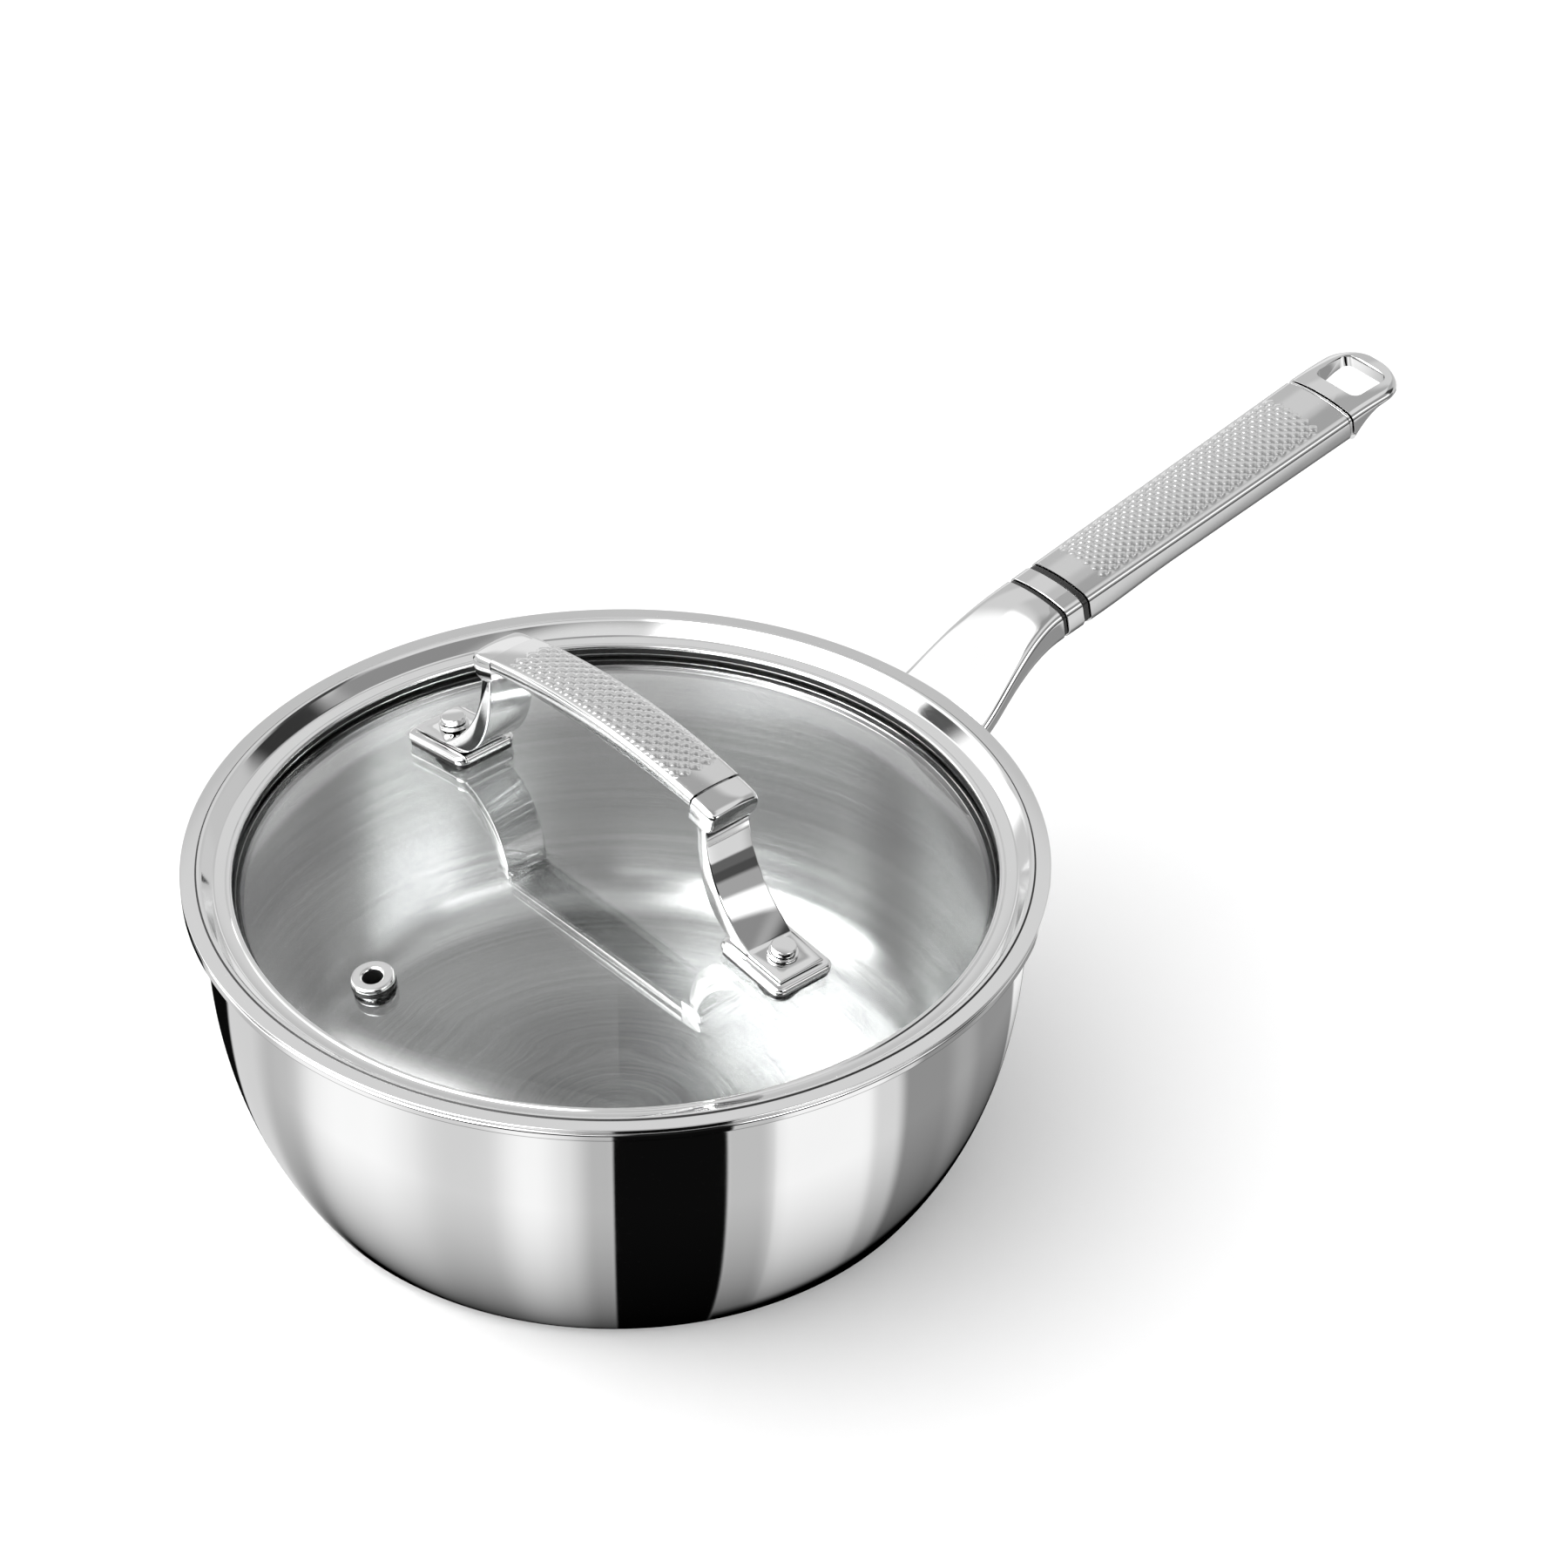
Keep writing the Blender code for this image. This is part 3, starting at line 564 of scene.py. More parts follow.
def seam_shade_steel(name):
    """Dull, dark steel standing for painted shade in the seam lines of the lid's rim and in the
    vent's bore.
    """
    mat, tree, shader = new_material(name, (0.03,) * 3, 0.6, 0.45)
    grain = noise(tree, place_vector(tree), 2.5, 3.0)
    tree.links.new(tint(tree, grain, (0.015,) * 3, (0.05,) * 3), shader.inputs["Base Color"])
    tree.links.new(span(tree, grain, 0.3, 0.7, 0.38, 0.5), shader.inputs["Roughness"])
    return mat


POLISHED = polished_steel("polished_steel")
RIM_STEEL = polished_steel("rim_steel", 0.86, (0.03, 0.09))
INSIDE = round_brushed_steel("round_brushed_steel")
SATIN = satin_steel("satin_steel")
RUBBER = dark_rubber("black_silicone")
GLASS = clear_glass("clear_glass")
# painted shade for the seam lines of the lid's rim and the vent's bore
SEAM_SHADE = seam_shade_steel("seam_shade_steel")


def settle(obj, body, finish, slot, *nodes):
    """Gives a piece its finish and its place on a body, and hides the CAD nodes it replaces."""
    obj.data.materials.clear()
    obj.data.materials.append(finish)
    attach(obj, body)
    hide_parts(*(nodes or (obj.name.removesuffix("_fine"),)))
    return obj


def paint_seam_shade(obj, inside):
    """Gives painted shade, the dull dark seam finish, to the faces whose centre, in millimetres, is
    inside.
    """
    obj.data.materials.append(SEAM_SHADE)
    for poly in obj.data.polygons:
        if inside(poly.center / MM, poly.normal):
            poly.material_index = len(obj.data.materials) - 1


# ---------------------------------------------------------------- pan

def outer_outline(spare=0.0):
    """Outside of the pan from the wall's foot to the rim's top; spare moves it outward."""
    wall = offset_left(bezier_points(WALL_CURVE, WALL_STEPS), spare)[::-1]
    rim = filleted([(BODY_R + spare, WALL_TOP, 0),
                    (BODY_R + spare, RIM_UNDER - spare, 4.5 - spare),
                    (RIM_R + spare, RIM_UNDER - spare, 0.9),
                    (RIM_R + spare, RIM_TOP + spare, 1.1),
                    (INNER_R, RIM_TOP + spare, 0)])
    return wall[:-1] + rim[:-1]


def pan_body():
    """Flared, mirror-polished body with a circular-brushed inside and underside."""
    foot = filleted([(0, 0, 0), (BASE_R, 0, BASE_ROUND), (*WALL_CURVE[3], 0)])[1:-1]
    lip = filleted([(RIM_R, RIM_TOP, 0), (INNER_R, RIM_TOP, 5.5), (INNER_R, WALL_TOP, 0)], 14)
    inner = [(r, z) for r, z in offset_left(bezier_points(WALL_CURVE, WALL_STEPS), -WALL)[1:]
             if z > FILLET_TOP]
    r, z = inner[-1]
    fillet = ((r, z), (r - 4.2, z - 5.6), (FLAT_FLOOR_R + 9.0, FLOOR), (FLAT_FLOOR_R, FLOOR))
    turn_in = bezier_points(fillet, FILLET_STEPS)[1:]
    outline = [(0, 0)] + foot + outer_outline() + lip[1:] + inner + turn_in + [(0, FLOOR)]
    obj = turned("pan_body_fine", outline, None, TURN, 40.0)
    settle(obj, "pan", POLISHED, "pan_steel")
    obj.data.materials.append(INSIDE)
    inside_top = (RIM_TOP - 1.0) * MM
    for poly in obj.data.polygons:
        r = math.hypot(poly.center.x, poly.center.y)
        facing_in = poly.normal.x * poly.center.x + poly.normal.y * poly.center.y < 0.0
        upward = poly.normal.z > 0.5 and poly.center.z < inside_top
        underside = poly.center.z < 0.1 * MM
        if underside or ((facing_in or upward) and r < (INNER_R + 0.5) * MM):
            poly.material_index = 1
    return obj


# ---------------------------------------------------------------- long handle

def neck_rings():
    rings = []
    count = 72
    for i in range(count + 1):
        t = i / count
        x, z = bezier(NECK_CURVE, t)
        x1, z1 = bezier(NECK_CURVE, t + 1e-4)
        tilt = math.atan2(z1 - z, x1 - x)
        width = NECK_ROOT_W - (NECK_ROOT_W - RUN_W) * smooth(100, RUN_X, x)
        rise = smooth(114, RUN_X, x)
        thick = NECK_ROOT_T + (RUN_T - NECK_ROOT_T) * rise
        section = grip_section(width, thick, RUN_CROWN - 0.7 * (1 - rise),
                               RUN_TOP_R - 0.4 * (1 - rise), RUN_BOTTOM_R - 2.0 * (1 - rise), 24)
        rings.append([(x - h * math.sin(tilt), y, z + h * math.cos(tilt)) for y, h in section])
    return rings


def handle_neck():
    neck = loft("handle_neck_fine", neck_rings())
    side = [(r, z) for r, z in outer_outline(GAP) if z > 30.0]
    outline = [(0, side[0][1])] + side + [(0, side[-1][1])]
    block = turned("neck_clearance", outline, None, TURN)
    bore = drill("neck_bore", ROD_R + GAP, ROD_SPAN[0] - GAP, 5.0, run_frame())
    combine(neck, [block, bore])
    soften(neck, 0.2)
    return settle(neck, "pan", POLISHED, "polished_steel")


def bored_run(name, span_d, inset, finish, slot, edge):
    """A short length of the straight run with the tie rod's bore through it."""
    steps = 6
    rings = [run_ring(span_d[0] + (span_d[1] - span_d[0]) * i / steps, inset)
             for i in range(steps + 1)]
    obj = loft(name + "_fine", rings)
    combine(obj, [drill(name + "_bore", ROD_R + GAP, span_d[0] - 2, span_d[1] + 2, run_frame())])
    soften(obj, edge)
    return settle(obj, "pan", finish, slot)


def diamond(u, v, cell, half_length):
    """Height, 0 to 1, of pillow-shaped diamonds whose middles lie within half_length of u = 0."""
    a, b = u / cell[0] + v / cell[1], u / cell[0] - v / cell[1]
    mid_a, mid_b = math.floor(a + 1e-9) + 0.5, math.floor(b + 1e-9) + 0.5
    if abs((mid_a + mid_b) * cell[0] / 2) >= half_length:
        return 0.0
    return abs(math.sin(math.pi * a) * math.sin(math.pi * b)) ** 0.6


def knurl_faces(size, across, first, rows):
    """Triangles of the knurled top, split along the grooves; first is the step of row 0."""
    faces = []
    for k in range(rows):
        for i in range(size):
            j = (i + 1) % size
            a, b, c, d = k * size + i, k * size + j, (k + 1) * size + j, (k + 1) * size + i
            column = i - across // 2
            if i >= across:
                faces.append((a, b, c, d))
            elif (first + k - column) % KNURL_STEPS == 0:
                faces += [(a, b, c), (a, c, d)]
            else:
                faces += [(a, b, d), (b, c, d)]
    return faces


def handle_grip():
    """Hollow steel grip, knurled on top between two plain ends."""
    du, dv = KNURL_CELL[0] / KNURL_STEPS, KNURL_CELL[1] / KNURL_STEPS
    rows = round((GRIP[1] - GRIP[0]) / du)
    middle = (KNURL[0] + KNURL[1]) / 2
    across = 2 * round((run_width(middle) / 2 - RUN_TOP_R) / dv)
    first = -round((middle - GRIP[0]) / du)
    half_length = (KNURL[1] - KNURL[0]) / 2
    rings = []
    for k in range(rows + 1):
        u = (first + k) * du
        d = min(max(middle + u, GRIP[0]), GRIP[1])
        section = run_section(d, 0.0, across)
        flat = run_width(d) / 2 - RUN_TOP_R
        ring = []
        for i, (y, z) in enumerate(section):
            if i < across:
                edge = smooth(flat, flat - 0.5, abs(y))
                v = (i - across // 2) * dv
                z += KNURL_RISE * edge * diamond(u, v, KNURL_CELL, half_length)
            ring.append(run_point(d, y, z))
        rings.append(ring)
    size = len(rings[0])
    verts = [v for ring in rings for v in ring]
    faces = knurl_faces(size, across, first, rows)
    inner = [run_ring(GRIP[0] + (GRIP[1] - GRIP[0]) * i / 8, GRIP_WALL, across) for i in range(9)]
    base = len(verts)
    more, inside = skin(inner, False)
    verts += more
    faces += [tuple(base + i for i in face) for face in inside]
    for i in range(size):
        j = (i + 1) % size
        faces.append((i, j, base + j, base + i))
        a, b = len(rings) * size - size, base + len(inner) * size - size
        faces.append((a + i, a + j, b + j, b + i))
    obj = mesh_object("handle_grip_fine", verts, faces, 38.0)
    return settle(obj, "pan", SATIN, "satin_steel")


def loop_progress(d):
    return max(0.0, (d - LOOP[0]) / (LOOP[1] - LOOP[0]))


def loop_drop(d):
    """Fall of the loop's top below the line of the straight run."""
    return LOOP_DROP * loop_progress(d) ** 2


def handle_end_loop():
    """Tapered end piece with a rounded rectangular hanging hole."""
    rings = []
    joint_width, joint_thick = run_width(LOOP[0]), run_thick(LOOP[0])
    count = 48
    for i in range(count + 1):
        t = i / count
        eased = t if t < 0.5 else 0.5 + 0.5 * math.sin((t - 0.5) * math.pi)
        d = LOOP[0] + (LOOP[1] - LOOP[0]) * eased
        past = max(0.0, d - (LOOP[1] - LOOP_CORNER))
        pinch = LOOP_CORNER - math.sqrt(max(0.0, LOOP_CORNER ** 2 - past ** 2))
        width = joint_width - 2 * min(pinch, LOOP_CORNER - 0.4)
        thick = LOOP_END_T + (joint_thick - LOOP_END_T) * (1 - loop_progress(d)) ** 2.6
        crown = RUN_CROWN * (width / joint_width) ** 2
        section = grip_section(width, thick, crown, RUN_TOP_R, min(3.5, thick - 1.9), 24)
        rings.append([run_point(d, y, z - loop_drop(d)) for y, z in section])
    loop = loft("handle_end_loop_fine", rings)
    middle = (LOOP_HOLE[0] + LOOP_HOLE[1]) / 2
    walls = []
    levels = [(2.0, 1.8)]
    for k in range(9):
        rise = math.radians(90 * k / 8)
        levels.append((0.1 - 1.1 * (1 - math.cos(rise)), 1.8 - 1.8 * math.sin(rise)))
    levels.append((-14.0, 0.0))
    for z, grow in levels:
        outline = rounded_rect(LOOP_HOLE[1] - LOOP_HOLE[0] + grow, LOOP_HOLE_W + grow, 2.4)
        walls.append([run_point(middle + x, y, z - loop_drop(middle + x)) for x, y in outline])
    hole = loft("loop_hole", walls)
    bore = drill("loop_bore", ROD_R + GAP, 100.0, ROD_SPAN[1] + GAP, run_frame())
    combine(loop, [hole, bore])
    return settle(loop, "pan", POLISHED, "polished_steel")


def handle_tie_rod():
    bottom, top = ROD_SPAN
    rod = turned("handle_tie_rod_fine", [
        (0, bottom), (ROD_R - 0.5, bottom), (ROD_R, bottom + 0.5), (ROD_R, top - 0.5),
        (ROD_R - 0.5, top), (0, top)], run_frame())
    return settle(rod, "pan", SATIN, "polished_steel")


# ---------------------------------------------------------------- lid

def lid_rim():
    """Pressed steel rim: flat flange, raised ridge, slope, inner ledge and hemmed skirt."""
    under = SHEET * 1.1
    outline = filleted([
        (FLANGE_R, FLANGE_TOP - SHEET, 0.3), (FLANGE_R, FLANGE_TOP, 0.3),
        (RIDGE_R + 0.8, FLANGE_TOP, 0.3), (RIDGE_R + 0.35, FLANGE_TOP + 0.35, 0.2),
        (RIDGE_R - 0.35, FLANGE_TOP + 0.35, 0.2), (RIDGE_R - 0.9, FLANGE_TOP - 0.1, 0.3),
        (SLOPE_FOOT_R, PLATEAU_Z + 0.15, 1.2), (LIP_R + 1.7, PLATEAU_Z, 0.3),
        (LIP_R + 1.25, PLATEAU_Z + 0.35, 0.2), (LIP_R, PLATEAU_Z + 0.35, 0.7),
        (LIP_R, PLATEAU_Z - 0.4, 0), (LIP_R, PLATEAU_Z - 1.9, 0), (LIP_R, LIP_BOTTOM + 0.5, 0),
        (LIP_R, LIP_BOTTOM, 0), (LIP_R + SHEET, LIP_BOTTOM, 0),
        (LIP_R + SHEET, PLATEAU_Z - under, 0), (SKIRT_R - SHEET, PLATEAU_Z - under, 0),
        (SKIRT_R - SHEET, HEM_TOP, 0), (HEM_R, HEM_TOP, 0),
        (HEM_R, HEM_TOP - SHEET, 0.3), (SKIRT_R, HEM_TOP - SHEET, 0.6),
        (SKIRT_R, PLATEAU_Z - 0.5, 0), (RIDGE_R - 1.0, FLANGE_TOP - SHEET, 0.4)], 5)
    rim = settle(revolve("lid_rim_fine", outline), "lid", RIM_STEEL, "polished_steel")

    # painted shade on the ridge's outer side, the lip's inner faces and the hem's hidden inside
    def shaded_seams(at, normal):
        r = math.hypot(at.x, at.y)
        inward = normal.x * at.x + normal.y * at.y < 0.0
        ridge = RIDGE_R + 0.35 < r < RIDGE_R + 0.8 and at.z > FLANGE_TOP + 0.02
        lip = r < LIP_R + 0.05 and (at.z < LIP_BOTTOM + 0.5 or 0.4 < PLATEAU_Z - at.z < 1.9)
        return ridge or lip or (inward and r > HEM_R and at.z < PLATEAU_Z - under - 0.1)

    paint_seam_shade(rim, shaded_seams)
    return rim


def lid_glass():
    steps = 40
    radii = [GLASS_R * i / steps for i in range(1, steps + 1)]
    top = [(r, glass_height(r)) for r in radii]
    bottom = [(r, z - GLASS_T) for r, z in top[::-1]]
    outline = [(0, DOME_TOP)] + top + bottom + [(0, DOME_TOP - GLASS_T)]
    glass = turned("lid_glass_fine", outline, None, TURN)
    holes = [drill("vent_hole", VENT_TUBE_R + 2 * GAP, -8, 4, glass_frame(VENT_X, 0))]
    for side in (1, -1):
        place = glass_frame(0, side * FOOT_Y) @ Matrix.Translation((STUD_OFFSET, 0, 0))
        holes.append(drill("stud_hole", GLASS_BORE_R, -8, 4, place))
    return settle(combine(glass, holes), "lid", GLASS, "lid_glass")


def washer(name, bore, radius, bottom, top, finish, slot, place, round_top=0.25):
    outline = filleted([(bore, bottom, 0), (radius, bottom, 0.1), (radius, top, round_top),
                        (bore, top, 0)], 4)
    return settle(revolve(name + "_fine", outline, place, SMALL_TURN), "lid", finish, slot)


def vent():
    place = glass_frame(VENT_X, 0)
    under = -GLASS_T - 4 * GAP
    outline = filleted([
        (VENT_BORE_R, under - 0.8, 0), (VENT_BORE_R, 2.9, 0.9), (VENT_HEAD_R, 2.9, 0.8),
        (VENT_HEAD_R, 1.5, 0.3), (VENT_TUBE_R, 1.5, 0), (VENT_TUBE_R, under, 0),
        (VENT_HEAD_R - 0.6, under, 0), (VENT_HEAD_R - 0.6, under - 0.8, 0.3)])
    eyelet = revolve("vent_eyelet_fine", outline, place, SMALL_TURN)
    settle(eyelet, "lid", POLISHED, "polished_steel")
    centre = place @ Vector((0, 0, 0))
    axis = (place.to_3x3() @ Vector((0, 0, 1))).normalized()

    # painted shade inside the vent's bore
    def bore(at, _normal):
        arm = at - centre
        return (arm - axis * arm.dot(axis)).length < VENT_BORE_R + 0.12

    paint_seam_shade(eyelet, bore)
    washer("vent_seal_outer", VENT_TUBE_R + GAP, VENT_HEAD_R + 0.1, GAP, 1.2, RUBBER,
           "dark_seal", place)
    washer("vent_seal_inner", VENT_TUBE_R + GAP, VENT_HEAD_R - 0.3, under + GAP, -GLASS_T - GAP,
           RUBBER, "dark_seal", place)


def foot_hardware(side, tag):
    """Gasket, plate, washer, stud and the nut under the glass of one lid-handle foot."""
    flat = glass_frame(0, side * FOOT_Y)
    bore = flat @ Matrix.Translation((STUD_OFFSET, 0, 0))

    def slab(name, levels, finish, slot):
        rings = []
        for z, inset in levels:
            outline = rounded_rect(FOOT_L - 2 * inset, FOOT_W - 2 * inset, 2.8 - inset * 0.8)
            rings.append([flat @ Vector((x, y, z)) for x, y in outline])
        obj = loft(name + "_fine", rings, 45.0)
        combine(obj, [drill(name + "_bore", STUD_BORE_R, -3, 8, bore)], "DIFFERENCE", 45.0)
        settle(obj, "lid", finish, slot)

    slab("foot_gasket_" + tag, [(0.3, 0.5), (1.3, 0.5)], RUBBER, "dark_seal")
    shoulder = []
    for k in range(9):
        turn = math.radians(90 * k / 8)
        shoulder.append((2.6 + 1.1 * math.sin(turn), 1.2 * (1 - math.cos(turn))))
    slab("foot_plate_" + tag, [(1.6, 0.25), (1.7, 0.08), (1.9, 0.0)] + shoulder, POLISHED,
         "polished_steel")
    washer("stud_washer_" + tag, STUD_BORE_R, 3.85, 5.0, 5.8, POLISHED, "polished_steel", bore)
    head = filleted([(STUD_R, 6.1, 0), (3.2, 6.1, 0.12), (3.2, 7.7, 0.4), (0, 7.7, 0)])
    stud = turned("handle_stud_" + tag + "_fine",
                  [(0, -8.6), (STUD_R - 0.3, -8.6), (STUD_R, -8.3)] + head, bore)
    settle(stud, "lid", POLISHED, "polished_steel")
    washer("nut_gasket_" + tag, STUD_BORE_R, 5.6, -GLASS_T - 1.4, -GLASS_T - 0.4, RUBBER,
           "dark_seal", bore)
    dome = [(4.4 * math.sin(math.radians(a)), -7.6 - 2.6 * math.cos(math.radians(a)))
            for a in range(0, 91, 9)]
    nut = turned("cap_nut_" + tag + "_fine",
                 dome + [(4.4, -6.2), (5.6, -6.0), (5.6, -4.9), (STUD_BORE_R, -4.9),
                         (STUD_BORE_R, -9.0), (0, -9.0)], bore)
    settle(nut, "lid", POLISHED, "polished_steel")


def offset_closed(points, inset):
    """Pulls a closed outline inward by a small amount at every corner."""
    out = []
    count = len(points)
    area = sum(points[i][0] * points[(i + 1) % count][1] - points[(i + 1) % count][0] * points[i][1]
               for i in range(count))
    turn = 1 if area > 0 else -1
    for i in range(count):
        here = Vector(points[i])
        a = (here - Vector(points[i - 1])).normalized()
        b = (Vector(points[(i + 1) % count]) - here).normalized()
        n = Vector((-(a.y + b.y), a.x + b.x)) * turn
        n.normalize()
        out.append(tuple(here + n * inset))
    return out


def leg(side, tag):
    """Curved strap that leaves the cap, sweeps outward and ends in a flat pad on the foot."""
    flat = glass_frame(0, side * FOOT_Y)

    def pad(along, up):
        p = flat @ Vector((along, 0, up))
        return (abs(p.y), p.z)

    outer = bezier_points(LEG_OUTER + (pad(-2.2, 4.7),), 40)
    inner = bezier_points(LEG_INNER + (pad(-8.3, 4.0),), 40)[::-1]
    outline = outer + [pad(8.9, 4.7), pad(9.2, 4.4), pad(9.2, 4.0)] + inner
    rings = []
    half = LEG_W / 2
    edges = [(0.0, 0.45), (0.04, 0.24), (0.13, 0.1), (0.28, 0.02), (0.5, 0.0)]
    stations = [(-half + a, inset) for a, inset in edges]
    stations += [(half - a, inset) for a, inset in edges[::-1]]
    for x, inset in stations:
        rings.append([(x, side * y, z) for y, z in offset_closed(outline, inset)])
    strap = loft("lid_leg_" + tag + "_fine", rings, 50.0)
    bore = flat @ Matrix.Translation((STUD_OFFSET, 0, 0))
    combine(strap, [drill("leg_bore", STUD_BORE_R, 2, 7, bore)], "DIFFERENCE", 50.0)
    return settle(strap, "lid", POLISHED, "polished_steel")


def lid_grip_ring(y, width, thick, across, drop=0.0, top_r=LID_GRIP_TOP_R, bottom_r=2.2,
                  raised=None):
    """Cross-section of the arched lid handle at y; raised gives extra height at a column."""
    tilt = math.atan(-2 * LID_GRIP_DROP * y / LID_GRIP_Y ** 2)
    section = grip_section(width, thick, LID_GRIP_CROWN, top_r, bottom_r, across)
    top = LID_GRIP_TOP - LID_GRIP_DROP * (y / LID_GRIP_Y) ** 2 - drop
    ring = []
    for i, (x, h) in enumerate(section):
        if raised is not None and i < across:
            h += raised(i, x)
        ring.append((x, y - h * math.sin(tilt), top + h * math.cos(tilt)))
    return ring


def tongue_rings(side, stations, half, thick):
    """Rectangular rings that follow the slope of the lid grip's end."""
    rings = []
    top = LID_GRIP_TOP - LID_GRIP_DROP * (TONGUE_Y / LID_GRIP_Y) ** 2
    for y in stations:
        middle = top - 2.6 - 0.18 * (y - TONGUE_Y)
        rings.append([(x, side * y, middle + h) for x, h in
                      ((-half, -thick), (half, -thick), (half, thick), (-half, thick))])
    return rings


def lid_grip():
    """Arched, knurled bar of the lid handle, with a pocket in each end for the cap's tongue."""
    du, dv = LID_KNURL_CELL[0] / KNURL_STEPS, LID_KNURL_CELL[1] / KNURL_STEPS
    rows = 2 * round(LID_GRIP_Y / du)
    across = 2 * round((LID_GRIP_W / 2 - LID_GRIP_TOP_R) / dv)
    rings = []
    for k in range(rows + 1):
        u = (k - rows // 2) * du
        y = max(-LID_GRIP_Y, min(LID_GRIP_Y, u))
        slim = 1.2 * (y / LID_GRIP_Y) ** 2
        width = LID_GRIP_W - 0.4 * slim
        flat = width / 2 - LID_GRIP_TOP_R

        def raised(i, x):
            cell = diamond(u, (i - across // 2) * dv, LID_KNURL_CELL, LID_KNURL_Y)
            return LID_KNURL_RISE * smooth(flat, flat - 0.5, abs(x)) * cell

        rings.append(lid_grip_ring(y, width, LID_GRIP_T - slim, across, raised=raised))
    size = len(rings[0])
    verts = [v for ring in rings for v in ring]
    faces = knurl_faces(size, across, -(rows // 2), rows)
    faces.append(tuple(range(size)))
    faces.append(tuple(range(rows * size, (rows + 1) * size)))
    grip = mesh_object("lid_grip_fine", verts, faces, 38.0)
    pockets = [loft("grip_pocket", tongue_rings(side, (31.0, 45.0), 5.3, 1.3)) for side in (1, -1)]
    combine(grip, pockets, "DIFFERENCE", 38.0)
    return settle(grip, "lid", SATIN, "satin_steel")


def lid_cap(side, tag):
    """End cap: a tongue that enters the grip, then a rounded block that takes the leg."""
    tongue = loft("cap_tongue", tongue_rings(side, (31.6, LID_GRIP_Y + GAP), 5.0, 1.0))
    start = LID_GRIP_Y + GAP
    rings = []
    count = 32
    for i in range(count + 1):
        t = i / count
        y = start + (CAP_END_Y - start) * math.sin(t * math.pi / 2)
        swell = math.sqrt(max(0.0, 1 - ((y - start) / (CAP_END_Y + 0.15 - start)) ** 6))
        width = (LID_GRIP_W - 0.4) * (0.86 + 0.14 * swell)
        thick = 4.0 + (CAP_T - 4.0) * swell
        drop = 0.35 + 0.9 * (1 - swell)
        rings.append(lid_grip_ring(side * y, width, thick, 16, drop, 1.5, 1.9))
    cap = loft("lid_cap_" + tag + "_fine", rings, 40.0)
    combine(cap, [tongue], "UNION", 40.0)
    slot = [[(x, side * y, z) for x, y in ((-LEG_W / 2 - GAP, 38.5), (LEG_W / 2 + GAP, 38.5),
                                           (LEG_W / 2 + GAP, 43.0), (-LEG_W / 2 - GAP, 43.0))]
            for z in (110.0, LEG_OUTER[0][1] + GAP)]
    combine(cap, [loft("cap_slot", slot)], "DIFFERENCE", 40.0)
    soften(cap, 0.18)
    return settle(cap, "lid", POLISHED, "polished_steel")


# ---------------------------------------------------------------- camera, floor and studio

CAMERA_AZIMUTH = math.radians(-129.65)   # where the camera stands round the pan
CAMERA_RISE = 0.79                       # cosine of the camera's height above the horizon


def camera():
    data = bpy.data.cameras.new("camera")
    data.lens = 180.0
    data.sensor_width = 36.0
    data.clip_end = 100.0
    obj = bpy.data.objects.new("camera", data)
    obj.location = (-0.9846, -1.1883, 1.2359)
    obj.rotation_euler = (math.radians(53.77), 0.0, math.radians(-41.18))
    bpy.context.collection.objects.link(obj)
    bpy.context.scene.camera = obj


def floor():
    mesh = bpy.data.meshes.new("floor")
    half = 6.0
    mesh.from_pydata([(-half, -half, 0), (half, -half, 0), (half, half, 0), (-half, half, 0)],
                     [], [(0, 1, 2, 3)])
    obj = bpy.data.objects.new("floor", mesh)
    obj.location.z = -0.0002
    bpy.context.collection.objects.link(obj)
    mat, _, shader = new_material("white_floor", (0.9, 0.9, 0.9), 0.0, 0.9)
    shader.inputs["Specular IOR Level"].default_value = 0.0
    mesh.materials.append(mat)
    obj.visible_glossy = False


def softbox(name, place, size, power, target=(0, 0, 0.05)):
    """Round area light aimed at the target, unseen in mirror-like surfaces."""
    data = bpy.data.lights.new(name, "AREA")
    data.shape = "DISK"
    data.size = size
    data.energy = power
    obj = bpy.data.objects.new(name, data)
    obj.location = place
    obj.rotation_euler = (Vector(place) - Vector(target)).to_track_quat("Z", "Y").to_euler()
    obj.visible_glossy = False
    bpy.context.collection.objects.link(obj)


# The studio is described from the camera's side: azimuth 0 is toward it, positive to its right.
# Tones that upright polished walls mirror from below the horizon: (from, to, edge softness,
# level), in degrees of wall direction.
WALL_CARDS = (
    (-110, -78, 1.0, 0.66), (-84, -71, 0.8, 0.004), (-60, -49, 3.0, 0.62), (-48, -31, 6.0, 1.12),
    (-27, -18, 3.5, 0.76), (-16, -9, 3.0, 1.1), (-5.5, 0, 2.0, 0.55), (-1.0, 15.0, 0.25, 0.004),
    (15.0, 22, 0.5, 0.60), (22, 38, 2.5, 1.08), (38, 42.5, 1.2, 0.78), (43, 75, 1.5, 0.32),
    (54, 60, 2.5, 0.42), (74.5, 88, 0.8, 0.95))
